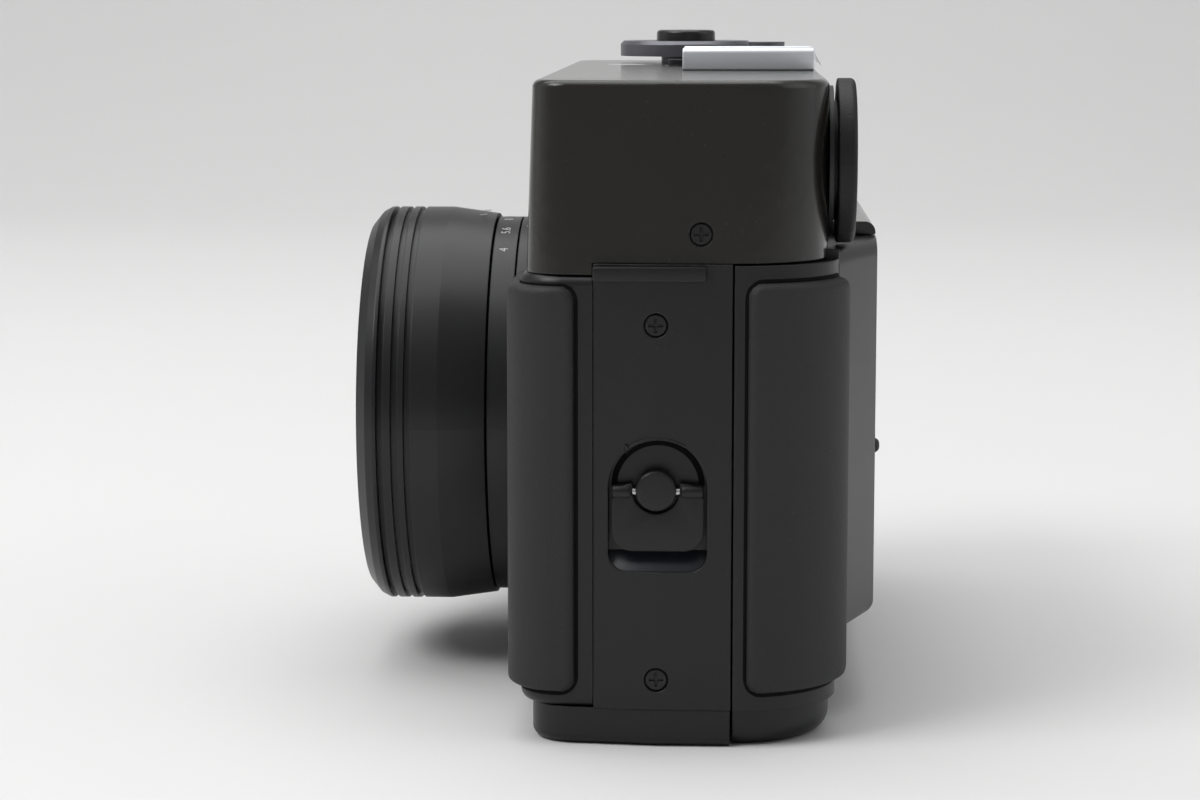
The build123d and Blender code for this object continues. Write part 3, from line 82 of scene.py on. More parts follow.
# %% Node helpers
def feed(tree, socket, value):
    """Link a socket to another one, or set it to a plain value."""
    if isinstance(value, bpy.types.NodeSocket):
        tree.links.new(value, socket)
    else:
        socket.default_value = value


def fill(tree, node, inputs):
    for label, value in inputs.items():
        feed(tree, node.inputs[label], value)
    return node


def add_node(tree, kind, inputs, **settings):
    """Add a node, make its settings and feed its inputs by their labels."""
    node = tree.nodes.new(f"ShaderNode{kind}")
    for label, value in settings.items():
        setattr(node, label, value)
    return fill(tree, node, inputs)


def mix_colours(tree, share, first, second):
    inputs = {"Factor": share, "A": first, "B": second}
    return add_node(tree, "Mix", inputs, data_type="RGBA").outputs["Result"]


def texture(tree, kind, inputs, vector=None):
    """Add a texture that reads Object coordinates, or another vector."""
    vector = vector or tree.nodes.new("ShaderNodeTexCoord").outputs["Object"]
    return add_node(tree, f"Tex{kind}", {"Vector": vector, **inputs}).outputs[0]


def new_material(name):
    material = bpy.data.materials.new(name)
    material.use_nodes = True
    return material, material.node_tree, material.node_tree.nodes["Principled BSDF"]


print("helpers", [f.__name__ for f in (feed, fill, add_node, mix_colours, texture, new_material)])

# %% [markdown]
# Shapes are made in edit mode, where an operator acts on all that is selected.
# So each step selects first and works then. These helpers open a piece with
# all of it or only some of its points selected, draw the selection out, and
# close the piece with its faces turned outwards.

# %% Edit mode helpers
def start(primitive, name, **choices):
    """Add a primitive by name, with nothing else selected."""
    bpy.ops.object.select_all(action="DESELECT")
    getattr(bpy.ops.mesh, f"primitive_{primitive}_add")(**choices)
    piece = bpy.context.object
    piece.name = name
    return piece


def enter_edit(piece):
    """Open one piece in edit mode with all of it selected."""
    bpy.ops.object.select_all(action="DESELECT")
    piece.select_set(True)
    bpy.context.view_layer.objects.active = piece
    bpy.ops.object.mode_set(mode="EDIT")
    bpy.ops.mesh.select_all(action="SELECT")


def select_where(piece, wanted):
    """Open a piece in edit mode with only its wanted points selected."""
    enter_edit(piece)
    bpy.ops.mesh.select_all(action="DESELECT")
    bpy.ops.object.mode_set(mode="OBJECT")
    for vertex in piece.data.vertices:
        vertex.select = wanted(vertex.co)
    bpy.ops.object.mode_set(mode="EDIT")


def draw_out(step):
    bpy.ops.mesh.extrude_region_move(TRANSFORM_OT_translate={"value": step})


def close_outward():
    """Turn all faces outwards and leave edit mode."""
    bpy.ops.mesh.select_all(action="SELECT")
    bpy.ops.mesh.normals_make_consistent(inside=False)
    bpy.ops.object.mode_set(mode="OBJECT")


print("helpers", [f.__name__ for f in (start, enter_edit, select_where, draw_out, close_outward)])

# %% [markdown]
# The camera stands on a pale cloth that curves up behind it. Two planes would
# meet in a line that shows, so one edge is drawn out along the floor, spun
# through a quarter turn and drawn up. Its colour wavers a little, as in cloth.

# %% Floor and backdrop
FLOOR_COLOUR = (0.80, 0.795, 0.79)
FOLD_SHADE = 0.96


def pale_surface(name, colour):
    material, tree, shader = new_material(name)
    folds = texture(tree, "Noise", {"Scale": 2.2, "Detail": 3.0})
    shaded = [channel * FOLD_SHADE for channel in colour]
    fill(tree, shader, {
        "Roughness": 0.9, "Specular IOR Level": 0.2,
        "Base Color": mix_colours(tree, folds, (*shaded, 1), (*colour, 1))})
    return material


def sweep_floor(near, far, wide, rise, bend):
    """Draw one edge of a plane along the floor, round the bend and up."""
    floor = start("plane", "pale_floor", size=2 * wide, location=(near + wide, 0, 0))
    bpy.ops.object.transform_apply(location=True)
    select_where(floor, lambda point: point.x > near + wide)
    bpy.ops.mesh.delete(type="VERT")
    bpy.ops.mesh.select_all(action="SELECT")
    draw_out((far - near, 0, 0))
    bpy.ops.mesh.spin(steps=16, angle=-math.pi / 2, center=(far, 0, bend), axis=(0, 1, 0))
    draw_out((0, 0, rise - bend))
    close_outward()
    bpy.ops.object.shade_smooth()
    return floor


floor = sweep_floor(near=1.2, far=-1.0, wide=3.0, rise=2.4, bend=0.6)
floor.data.materials.append(pale_surface("pale_cloth", FLOOR_COLOUR))
print("floor faces", len(floor.data.polygons), "top", max(v.co.z for v in floor.data.vertices))

# %% [markdown]
# Black things are shaped by what they reflect. A lamp pointed at black plastic
# only makes a spot, so wide soft panels stand round the camera: one above,
# one towards the lens, a small one for the edges and a weak one behind.

# %% Soft panels
def soft_panel(name, place, aim, size, watts):
    data = bpy.data.lights.new(name, "AREA")
    data.shape = "RECTANGLE"
    data.size = data.size_y = size
    data.energy = watts
    panel = bpy.data.objects.new(name, data)
    scene.collection.objects.link(panel)
    panel.location = place
    panel.rotation_mode = "QUATERNION"
    panel.rotation_quaternion = (Vector(aim) - Vector(place)).to_track_quat("-Z", "Y")


soft_panel("overhead_panel", (-0.25, -0.15, 1.5), aim=(0, 0, 0.05), size=1.6, watts=14.2)
soft_panel("front_panel", (0.55, -1.0, 1.3), aim=(0, 0, 0.04), size=0.7, watts=9)
soft_panel("edge_panel", (0.55, -0.45, 0.85), aim=(0.07, 0, 0.05), size=0.22, watts=0.8)
soft_panel("rear_panel", (0.25, 1.4, 0.8), aim=(0, 0, 0.04), size=1.0, watts=1.5)

# %% [markdown]
# The room itself fills in the rest. It is bright behind the camera body and
# dim on the viewer's side, so the end that faces us stays dark. Light Path
# tells the rays apart: what the viewer sees directly is pale, and what glossy
# faces and glass pick up is never darker than a set share of that.

# %% Pale room
PALE_VIEW = 0.72
PALE_REFLECTION = 0.30


def calculate(tree, operation, first, second, clamp=False):
    settings = {"operation": operation, "use_clamp": clamp}
    return add_node(tree, "Math", {0: first, 1: second}, **settings).outputs[0]


def smooth_range(tree, value, low, high, out_low=0.0, out_high=1.0):
    """Take a value from one range to another, with a soft start and end."""
    inputs = {"Value": value, "From Min": low, "From Max": high,
              "To Min": out_low, "To Max": out_high}
    return add_node(tree, "MapRange", inputs, interpolation_type="SMOOTHSTEP").outputs[0]


def pale_room(bright, dim):
    world = bpy.data.worlds.new("pale_room")
    world.use_nodes = True
    tree = world.node_tree
    direction = tree.nodes.new("ShaderNodeTexCoord").outputs["Generated"]
    split = add_node(tree, "SeparateXYZ", {"Vector": direction})
    light = smooth_range(tree, split.outputs["X"], -0.1, 0.9, bright, dim)
    rays = tree.nodes.new("ShaderNodeLightPath").outputs
    mirrored = calculate(tree, "MAXIMUM", rays["Is Glossy Ray"], rays["Is Transmission Ray"])
    least = calculate(tree, "MULTIPLY", mirrored, PALE_REFLECTION)
    light = calculate(tree, "MAXIMUM", light, least)
    seen = add_node(tree, "Mix", {"Factor": rays["Is Camera Ray"], "A": light, "B": PALE_VIEW})
    fill(tree, tree.nodes["Background"], {
        "Color": (0.97, 0.985, 1.0, 1), "Strength": seen.outputs["Result"]})
    return world


scene.world = pale_room(bright=0.62, dim=0.10)
print("room nodes", len(scene.world.node_tree.nodes))

# %% [markdown]
# Every black surface here shares three small effects: a fine grain from its
# mould or paint, edges rubbed paler by hands and bags, and a thin film of
# dust and scuffs. Each is a node group, built once, and each material sets
# its own amounts. The grain joins small noise and pebbles for the relief, and
# slow clouds change the roughness a little from place to place.

# %% Grain group
def new_group(name, inputs, outputs):
    """Make a node group, and give it with what it takes in and puts out."""
    group = bpy.data.node_groups.new(name, "ShaderNodeTree")
    for way, labels in (("INPUT", inputs), ("OUTPUT", outputs)):
        for label in labels:
            kind = "NodeSocketColor" if label == "Color" else "NodeSocketFloat"
            socket = group.interface.new_socket(label, in_out=way, socket_type=kind)
            if way == "INPUT":
                socket.default_value = inputs[label]
    enter, leave = group.nodes.new("NodeGroupInput"), group.nodes.new("NodeGroupOutput")
    return group, enter.outputs, leave


def make_grain():
    group, given, leave = new_group(
        "fine_grain", {"Scale": 4000.0, "Unevenness": 0.06, "Roughness": 0.5},
        ("Height", "Roughness"))
    fine = texture(group, "Noise", {"Scale": given["Scale"], "Detail": 2.0})
    pebbles = texture(group, "Voronoi", {"Scale": given["Scale"]})
    clouds = texture(group, "Noise", {"Scale": 38.0, "Detail": 4.0})
    centred = calculate(group, "SUBTRACT", clouds, 0.5)
    spread = calculate(group, "MULTIPLY", centred, given["Unevenness"])
    fill(group, leave, {
        "Height": calculate(group, "ADD", fine, pebbles),
        "Roughness": calculate(group, "ADD", spread, given["Roughness"], clamp=True)})
    return group


GRAIN = make_grain()
print(GRAIN.name, "nodes", len(GRAIN.nodes))

# %% [markdown]
# A wear mask could be painted by hand, but the Bevel node finds edges by
# itself: where the normal that it rounds leaves the plain one, there is an
# edge. Two noises multiplied break the line into chips and rubs.

# %% Edge wear group
def make_edge_wear(radius):
    group, given, leave = new_group("edge_wear", {"Amount": 0.5}, ("Mask",))
    rounded = add_node(group, "Bevel", {"Radius": radius}, samples=6).outputs["Normal"]
    flat = group.nodes.new("ShaderNodeNewGeometry").outputs["Normal"]
    agree = add_node(group, "VectorMath", {0: rounded, 1: flat}, operation="DOT_PRODUCT")
    edge = smooth_range(group, agree.outputs["Value"], 0.99, 0.86)
    chips = texture(group, "Noise", {"Scale": 420.0, "Detail": 6.0})
    rubs = texture(group, "Noise", {"Scale": 45.0})
    broken = smooth_range(group, calculate(group, "MULTIPLY", chips, rubs), 0.17, 0.42)
    masked = calculate(group, "MULTIPLY", edge, broken)
    fill(group, leave, {
        "Mask": calculate(group, "MULTIPLY", masked, given["Amount"], clamp=True)})
    return group


EDGE_WEAR = make_edge_wear(0.0004)
print(EDGE_WEAR.name, "nodes", len(EDGE_WEAR.nodes))

# %% [markdown]
# Dust is specks, the hearts of small Voronoi cells, and scuffs are noise
# stretched into thin lines. Both show only inside soft patches, since a
# camera is never dirty all over.

# %% Dust and scuff group
DUST_COLOUR = (0.42, 0.41, 0.40, 1)


def make_dust():
    group, given, leave = new_group(
        "dust_and_scuffs", {"Color": (0.05, 0.05, 0.05, 1), "Dust": 0.15, "Scuffs": 0.15},
        ("Color", "Mask"))
    specks = texture(group, "Voronoi", {"Scale": 520.0, "Randomness": 1.0})
    specks = smooth_range(group, specks, 0.16, 0.06)
    patches = texture(group, "Noise", {"Scale": 60.0, "Detail": 5.0})
    patches = smooth_range(group, patches, 0.52, 0.7)
    place = group.nodes.new("ShaderNodeTexCoord").outputs["Object"]
    stretched = add_node(group, "Mapping", {
        "Vector": place, "Scale": (900.0, 900.0, 60.0), "Rotation": (0.5, 0.3, 0.2)})
    lines = texture(group, "Noise", {"Scale": 1.0, "Detail": 1.0}, stretched.outputs["Vector"])
    lines = smooth_range(group, lines, 0.70, 0.78)
    parts = []
    for mark, amount in ((specks, "Dust"), (lines, "Scuffs")):
        patched = calculate(group, "MULTIPLY", mark, patches)
        parts.append(calculate(group, "MULTIPLY", patched, given[amount]))
    total = calculate(group, "ADD", *parts, clamp=True)
    fill(group, leave, {
        "Color": mix_colours(group, total, given["Color"], DUST_COLOUR), "Mask": total})
    return group


DUST = make_dust()
print(DUST.name, "nodes", len(DUST.nodes))

# %% [markdown]
# One maker function lays the same chain for every hard finish: colour, wear on
# the edges, dust over that, and a grain that tilts the light. The Bevel node
# also rounds the shading of every edge a little, because no moulded edge is
# sharp. What differs is in the numbers.

# %% Material maker
def finish_material(name, colour, roughness, grain=4000.0, bump=0.02, metallic=0.0, wear=None,
                    wear_colour=(0.3, 0.3, 0.3), dust=0.1, scuffs=0.1, unevenness=0.08,
                    specular=0.5, soft_edge=0.00025, coat=0.0):
    material, tree, shader = new_material(name)
    mould = add_node(tree, "Group", {}, node_tree=GRAIN)
    fill(tree, mould, {"Scale": grain, "Unevenness": unevenness, "Roughness": roughness})
    rounded = add_node(tree, "Bevel", {"Radius": soft_edge}, samples=4).outputs["Normal"]
    relief = add_node(tree, "Bump", {
        "Strength": bump, "Distance": 0.0002, "Normal": rounded,
        "Height": mould.outputs["Height"]})
    rubbed = 0.0
    if wear:
        edges = add_node(tree, "Group", {}, node_tree=EDGE_WEAR)
        rubbed = fill(tree, edges, {"Amount": wear}).outputs["Mask"]
    tone = mix_colours(tree, rubbed, (*colour, 1), (*wear_colour, 1))
    film = add_node(tree, "Group", {}, node_tree=DUST)
    fill(tree, film, {"Color": tone, "Dust": dust, "Scuffs": scuffs})
    fill(tree, shader, {
        "Base Color": film.outputs["Color"], "Roughness": mould.outputs["Roughness"],
        "Metallic": metallic, "Specular IOR Level": specular,
        "Coat Weight": coat, "Coat Roughness": 0.12, "Normal": relief.outputs["Normal"]})
    return material


FINISHES = {}


def add_finish(slot, *numbers, **choices):
    FINISHES[slot] = finish_material(*numbers, **choices)


print("effects in the chain", [group.name for group in (GRAIN, EDGE_WEAR, DUST)])

# %% [markdown]
# The body shows four blacks side by side. The top cover is warm, hard paint
# with a thin clear coat, the shells are satin plastic, the pads are rough
# rubber with the largest grain, and the lens is the smoothest.

# %% Blacks of the body
add_finish("body_plastic", "satin_black_shell", (0.006, 0.006, 0.0068), 0.35, grain=5200,
           bump=0.05, wear=0.25, soft_edge=0.0004, wear_colour=(0.07, 0.07, 0.072),
           dust=0.03, scuffs=0.03, specular=0.4)
add_finish("top_paint", "warm_black_top_paint", (0.015, 0.0135, 0.0115), 0.21, grain=4200,
           bump=0.03, wear=0.3, wear_colour=(0.08, 0.075, 0.07), dust=0.03, scuffs=0.04,
           specular=0.28, coat=0.45)
add_finish("pad_rubber", "fine_black_rubber", (0.020, 0.020, 0.020), 0.62, grain=2600,
           bump=0.22, wear=0.15, wear_colour=(0.06, 0.06, 0.06), dust=0.03, scuffs=0.02,
           specular=0.40)
add_finish("soft_rubber", "soft_black_rubber", (0.007, 0.007, 0.007), 0.5, grain=2600,
           bump=0.15, dust=0.05, scuffs=0.02, specular=0.35)
add_finish("black_plastic", "matt_black_plastic", (0.011, 0.011, 0.012), 0.46, grain=3600,
           bump=0.10, wear=0.15, wear_colour=(0.06, 0.06, 0.06), dust=0.02, scuffs=0.02)
add_finish("lens_black", "lens_black_anodise", (0.008, 0.008, 0.009), 0.34, grain=6200,
           bump=0.04, wear=0.2, wear_colour=(0.06, 0.06, 0.065), dust=0.02, scuffs=0.02,
           specular=0.42)
# The ramp is the same black plastic as the plate; its paler blue-grey is painted light, the sky
# light that its slope catches from above.
add_finish("ramp_painted_light", "ramp_painted_sky_light", (0.019, 0.021, 0.027), 0.32, grain=5200,
           bump=0.03, dust=0.02, scuffs=0.02)
# A flat near-black used as painted shade: the shade in the groove round each pad and in the top of
# the latch well.
add_finish("painted_shade_black", "painted_groove_shade", (0.002, 0.002, 0.002), 0.8, grain=3000,
           bump=0.02, dust=0.0, scuffs=0.0, specular=0.15)
print("blacks", sorted(FINISHES))

# %% [markdown]
# The metals differ mostly in how bright and how rough they are. The shoe is
# bare satin metal with no paint to wear through, gears and springs are
# turned and bright, and screws and shutter blades are blackened.

# %% Metals
add_finish("die_cast", "black_anodised_casting", (0.03, 0.03, 0.032), 0.6, grain=2500,
           bump=0.05, metallic=0.3)
add_finish("shoe_metal", "satin_nickel_shoe", (0.90, 0.91, 0.94), 0.45, grain=5000,
           bump=0.05, metallic=0.7, wear=0.25, wear_colour=(0.8, 0.8, 0.8), dust=0.08,
           scuffs=0.20)
add_finish("shutter_metal", "blackened_shutter_metal", (0.012, 0.012, 0.014), 0.45,
           grain=3000, bump=0.05, metallic=0.3, dust=0.0, scuffs=0.03)
add_finish("bright_steel", "turned_bright_steel", (0.55, 0.55, 0.56), 0.28, grain=3000,
           bump=0.06, metallic=1.0, dust=0.05)
add_finish("brass_gear", "turned_brass", (0.62, 0.44, 0.17), 0.32, grain=3000, bump=0.06,
           metallic=1.0, dust=0.05)
add_finish("control_metal", "grey_anodised_control", (0.15, 0.15, 0.165), 0.34, grain=4500,
           bump=0.06, metallic=0.7, wear=0.6, wear_colour=(0.5, 0.5, 0.5), dust=0.2)
add_finish("screw_black", "blackened_screw_steel", (0.014, 0.014, 0.015), 0.33, grain=4000,
           bump=0.06, metallic=0.4, wear=0.2, wear_colour=(0.14, 0.14, 0.14), dust=0.02,
           scuffs=0.02)
add_finish("mirror_glass", "range_mirror_coat", (0.82, 0.84, 0.86), 0.04, bump=0.0,
           metallic=1.0, dust=0.02, scuffs=0.0, unevenness=0.02)
print("finishes", len(FINISHES))

# %% [markdown]
# The last hard finishes are for small parts: a polished button, a red lamp,
# the block that holds the shoe's contacts, the circuit board, the battery
# sleeves, and the white and orange paint of the scales.

# %% Small parts and paints
add_finish("button_black", "polished_black_button", (0.012, 0.012, 0.013), 0.22,
           wear=0.3, dust=0.15)
add_finish("lamp_red", "red_lamp_lens", (0.30, 0.012, 0.012), 0.18, bump=0.0, dust=0.05,
           scuffs=0.02)
add_finish("contact_block", "shoe_contact_block", (0.05, 0.05, 0.05), 0.45)
add_finish("board_green", "green_circuit_board", (0.012, 0.10, 0.045), 0.35, dust=0.05)
add_finish("battery_wrap", "grey_battery_sleeve", (0.16, 0.18, 0.25), 0.28, bump=0.01,
           dust=0.02)
add_finish("mark_white", "white_scale_paint", (0.72, 0.72, 0.70), 0.55, dust=0.0, scuffs=0.0)
add_finish("mark_orange", "orange_scale_paint", (0.75, 0.22, 0.02), 0.5, dust=0.0, scuffs=0.0)
print("finishes", len(FINISHES))

# %% [markdown]
# Glass needs its own maker. Coated lenses look nearly black with a tinted
# reflection, because almost no light comes back out of the dark box. A clear
# shader with a dark interior does that by itself, and a thin tinted coat
# gives the violet of the coating. Faint smears change the roughness.

# %% Glass finishes
SMEAR_ROUGHNESS = 0.03


def add_glass(slot, name, tint, roughness, coat_tint, transmission=1.0):
    FINISHES[slot], tree, shader = new_material(name)
    smears = texture(tree, "Noise", {"Scale": 90.0, "Detail": 5.0})
    spread = smooth_range(tree, smears, 0.45, 0.85, roughness, roughness + SMEAR_ROUGHNESS)
    fill(tree, shader, {
        "Base Color": (*tint, 1), "Transmission Weight": transmission, "IOR": 1.5,
        "Coat Weight": 0.3, "Coat Roughness": 0.02, "Coat Tint": (*coat_tint, 1),
        "Roughness": spread})


add_glass("coated_glass", "coated_lens_glass", (0.84, 0.86, 0.97), 0.01, (0.70, 0.62, 1.0))
add_glass("window_glass", "finder_window_glass", (0.72, 0.80, 0.86), 0.03, (0.8, 0.9, 1.0))
add_glass("frosted_glass", "frosted_window_glass", (0.86, 0.88, 0.90), 0.45, (1.0, 1.0, 1.0),
          transmission=0.6)
print("finishes", len(FINISHES))

# %% [markdown]
# Each solid names the finish it wants. The eyecup is the one exception: its
# rubber is softer and darker than the pads', so it is given by hand.

# %% Dress the solids
slot_of = {part["node"]: part["material_slot"] for part in frame["record"]["subparts"]}
for node, solid in frame["nodes"].items():
    solid.data.materials.clear()
    solid.data.materials.append(FINISHES[slot_of[node]])
frame["nodes"]["eyecup"].data.materials[0] = FINISHES["soft_rubber"]
print("dressed", len(slot_of), "solids")

# %% [markdown]
# New pieces follow one routine: start from a primitive at its real place, shape
# it in edit mode, put its place into its mesh, smooth it, give it a finish and
# hang it on the body that carries it. Operators do the shaping where all that
# is selected moves as one. Where each point moves by its own rule, as in a
# bowed spring, the rule is a function and move_points applies it.

# %% Shape and finish a piece
def move_points(piece, rule):
    for vertex in piece.data.vertices:
        vertex.co = rule(vertex.co.copy())
    piece.data.update()


def copy_of(piece, name, matrix):
    """Copy a piece, with a mesh of its own that a matrix moves."""
    twin = bpy.data.objects.new(name, piece.data.copy())
    scene.collection.objects.link(twin)
    twin.data.transform(matrix)
    return twin


def settle(piece, body, finish, slot=None, bevel=0.0, segments=3, smooth=35):
    bpy.ops.object.select_all(action="DESELECT")
    piece.select_set(True)
    bpy.context.view_layer.objects.active = piece
    bpy.ops.object.transform_apply(location=True, rotation=True, scale=True)
    if bevel:
        rounding = piece.modifiers.new("rounding", "BEVEL")
        rounding.width = bevel
        rounding.segments = segments
        rounding.limit_method = "ANGLE"
        rounding.angle_limit = math.radians(30)
        rounding.harden_normals = False
        bpy.ops.object.modifier_apply(modifier=rounding.name)
    bpy.ops.object.shade_smooth_by_angle(angle=math.radians(smooth))
    piece.data.materials.clear()
    piece.data.materials.append(FINISHES[finish])
    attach(piece, body)
    print(piece.name, "faces", len(piece.data.polygons))


print("helpers", [f.__name__ for f in (move_points, copy_of, settle)])

# %% [markdown]
# The rubber pads wrap the corners of the shells. Their edges are soft all
# round and their corners are round when seen from the side, which a plain
# solid leaves out. A Bevel modifier can't do it, because the pad's face bends
# round the shell. So the solid's mesh is copied, its triangles are joined
# into whole faces, and new lines are cut close to the rim, which give the
# rim enough points to curve.

# %% Copy a solid and cut new lines
RIM_STEPS = (0.00006, 0.00015, 0.0003, 0.0005, 0.0008, 0.0012, 0.0016, 0.002, 0.0024)
SHADE_SHEET_STEPS = (0.0005, 0.001, 0.0016, 0.0024)
SIDE, ALONG, UP = 0, 1, 2


def merged_copy(node, name):
    piece = bpy.data.objects.new(name, frame["nodes"][node].data.copy())
    scene.collection.objects.link(piece)
    enter_edit(piece)
    bpy.ops.mesh.remove_doubles(threshold=2e-6)
    bpy.ops.mesh.dissolve_limited(angle_limit=math.radians(0.8))
    bpy.ops.object.mode_set(mode="OBJECT")
    return piece


def pad_limits(piece, forward):
    """Measure a pad: foot, top, its inner end in x and, on each side, in y."""
    points = [v.co for v in piece.data.vertices]
    heights = [p.z for p in points]
    pick = max if forward > 0 else min
    y_ends = []
    for side in (1, -1):
        there = [p.y for p in points if p.x * side > 0]
        if there:
            y_ends.append(pick(there))
    return min(heights), max(heights), min(abs(p.x) for p in points), (y_ends * 2)[:2]


def cut_near_rim(piece, limits, forward, steps):
    low, high, x_end, y_ends = limits
    cuts = []
    for step in steps:
        cuts += [(UP, low + step), (UP, high - step)]
        cuts += [(SIDE, x_end + step), (SIDE, -x_end - step)]
        cuts += [(ALONG, y_end - forward * step) for y_end in set(y_ends)]
    enter_edit(piece)
    for axis, place in cuts:
        point, normal = Vector(), Vector()
        point[axis] = place
        normal[axis] = 1.0
        bpy.ops.mesh.select_all(action="SELECT")
        bpy.ops.mesh.bisect(plane_co=point, plane_no=normal)
    bpy.ops.object.mode_set(mode="OBJECT")


print("lines near each rim", len(RIM_STEPS), "near each seat's rim", len(SHADE_SHEET_STEPS))

# %% [markdown]
# Each point of the pad's face stands a little way off the shell. Near the rim
# that way shrinks as on a quarter circle, so the face comes down to the shell
# in a soft curve. In the corners the distance from the rim is measured from a
# circle, which makes the corners round.

# %% Curve a pad
RIM_ROUND = 0.0012
PAD_CORNER = 0.0024
TOUCHING = 0.0002
SUNK = 0.00004
TINY_EDGE = 0.00001


def soften_pad(piece, carrier, forward):
    low, high, x_end, y_ends = limits = pad_limits(piece, forward)
    cut_near_rim(piece, limits, forward, RIM_STEPS)
    shell = frame["nodes"][carrier]

    def curve(point):
        _, foot, _, _ = shell.closest_point_on_mesh(point)
        proud = point - foot
        if proud.length < TOUCHING:
            return point
        y_end = y_ends[0] if point.x > 0 else y_ends[1]
        across = min(abs(point.x) - x_end, forward * (y_end - point.y))
        upward = min(point.z - low, high - point.z)
        inside = min(across, upward)
        if max(across, upward) < PAD_CORNER:
            inside = PAD_CORNER - math.hypot(PAD_CORNER - across, PAD_CORNER - upward)
        if inside <= 0:
            return foot - proud.normalized() * SUNK
        share = min(inside, RIM_ROUND) / RIM_ROUND
        return foot + proud * math.sqrt(1 - (1 - share) ** 2)

    move_points(piece, curve)
    enter_edit(piece)
    bpy.ops.mesh.remove_doubles(threshold=TINY_EDGE)
    bpy.ops.mesh.dissolve_degenerate(threshold=TINY_EDGE)
    close_outward()


print("pads curve over", RIM_ROUND * 1000, "mm, corners", PAD_CORNER * 1000, "mm")

# %% [markdown]
# A dark line of shade shows round each pad, where the shell has a shallow groove
# for it. A groove would have to be cut into the shell. A thin dark sheet under
# the pad, a little larger all round, is painted shade: it gives the same dark
# line and leaves the shell whole. It is the same solid again, pressed flat onto
# the shell.

# %% Pads and their painted shade sheets
SHADE_SHEET_BORDER = 0.0006
SHADE_SHEET_PROUD = 0.00006
SHADE_SHEET_SUNK = 0.0001
ON_RIM = 0.00002


# The sheet's dark finish is painted shade, standing for the shade in the groove round the pad.
def pad_shade_sheet(node, name, carrier, body, forward):
    shade_sheet = merged_copy(node, name)
    low, high, x_end, y_ends = limits = pad_limits(shade_sheet, forward)
    cut_near_rim(shade_sheet, limits, forward, SHADE_SHEET_STEPS)
    shell = frame["nodes"][carrier]
    turn = PAD_CORNER + SHADE_SHEET_BORDER

    def flatten(point):
        _, foot, _, _ = shell.closest_point_on_mesh(point)
        outer = (point - foot).length > TOUCHING
        top = point.z > (low + high) / 2
        y_end = y_ends[0] if point.x > 0 else y_ends[1]
        beside, along = abs(point.x) - x_end, forward * (y_end - point.y)
        across, upward = min(beside, along), (high - point.z) if top else (point.z - low)
        across = 0 if across < ON_RIM else across + SHADE_SHEET_BORDER
        upward = 0 if upward < ON_RIM else upward + SHADE_SHEET_BORDER
        away = math.hypot(turn - across, turn - upward)
        if max(across, upward) < turn < away:
            across = turn - (turn - across) * turn / away
            upward = turn - (turn - upward) * turn / away
        point.z = high + SHADE_SHEET_BORDER - upward if top else low - SHADE_SHEET_BORDER + upward
        if along <= beside:
            point.y = y_end + forward * (SHADE_SHEET_BORDER - across)
        else:
            point.x = math.copysign(x_end - SHADE_SHEET_BORDER + across, point.x)
        _, foot, normal, _ = shell.closest_point_on_mesh(point)
        return foot + normal * (SHADE_SHEET_PROUD if outer else -SHADE_SHEET_SUNK)

    move_points(shade_sheet, flatten)
    enter_edit(shade_sheet)
    bpy.ops.mesh.remove_doubles(threshold=TINY_EDGE / 2)
    bpy.ops.mesh.dissolve_degenerate(threshold=TINY_EDGE / 2)
    bpy.ops.object.mode_set(mode="OBJECT")
    settle(shade_sheet, body, "painted_shade_black", "pad_rubber")


for node, name, carrier, body, forward in (
        ("front_pad", "front_rubber_pad", "front_shell", "body", 1),
        ("door_pads", "door_rubber_pads", "door_shell", "film_door", -1)):
    pad = merged_copy(node, name)
    soften_pad(pad, carrier, forward)
    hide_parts(node)
    settle(pad, body, "pad_rubber")
    pad_shade_sheet(node, f"{name}_seat", carrier, body, forward)

# %% [markdown]
# A few small parts catch a bright line on every edge, so they get real round
# edges: the latch, the strap bars and the rails of the shoe. The joined copy
# takes a bevel, and replaces the plain solid.

# %% Rounded small parts
ROUNDED = (
    ("latch_hub", "body", "body_plastic", 0.00055),
    ("latch_key", "latch_key", "body_plastic", 0.00022),
    ("strap_bars", "body", "body_plastic", 0.00028),
    ("hot_shoe", "body", "shoe_metal", 0.00030),
)
for node, body, finish, width in ROUNDED:
    copy = merged_copy(node, f"rounded_{node}")
    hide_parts(node)
    settle(copy, body, finish, slot=slot_of[node], bevel=width, segments=4)

# %% [markdown]
# The key of the door latch hangs on a pin, and round the pin it is thick, so
# two short barrels show beside the hub. Each starts as a cylinder lying along
# Y, and its ends are bevelled.

# %% Barrels of the latch key
KEY_PIN_X, KEY_PIN_Z = 0.0711, 0.03895
BARRELS = (("key_barrel_front", -0.0105, -0.0078), ("key_barrel_rear", -0.0002, 0.0031))
for name, low, high in BARRELS:
    barrel = start("cylinder", name, vertices=32, radius=0.00112, depth=high - low,
                   location=(KEY_PIN_X, (low + high) / 2, KEY_PIN_Z),
                   rotation=(math.pi / 2, 0, 0))
    settle(barrel, "latch_key", "body_plastic", bevel=0.0002)

# %% [markdown]
# The floor of the latch well slopes up to its lower lip, so that a fingernail
# can reach under the key. A cube's top edge is moved inwards to make that
# wedge. Its ends run a little into the plate, where they can't be seen.

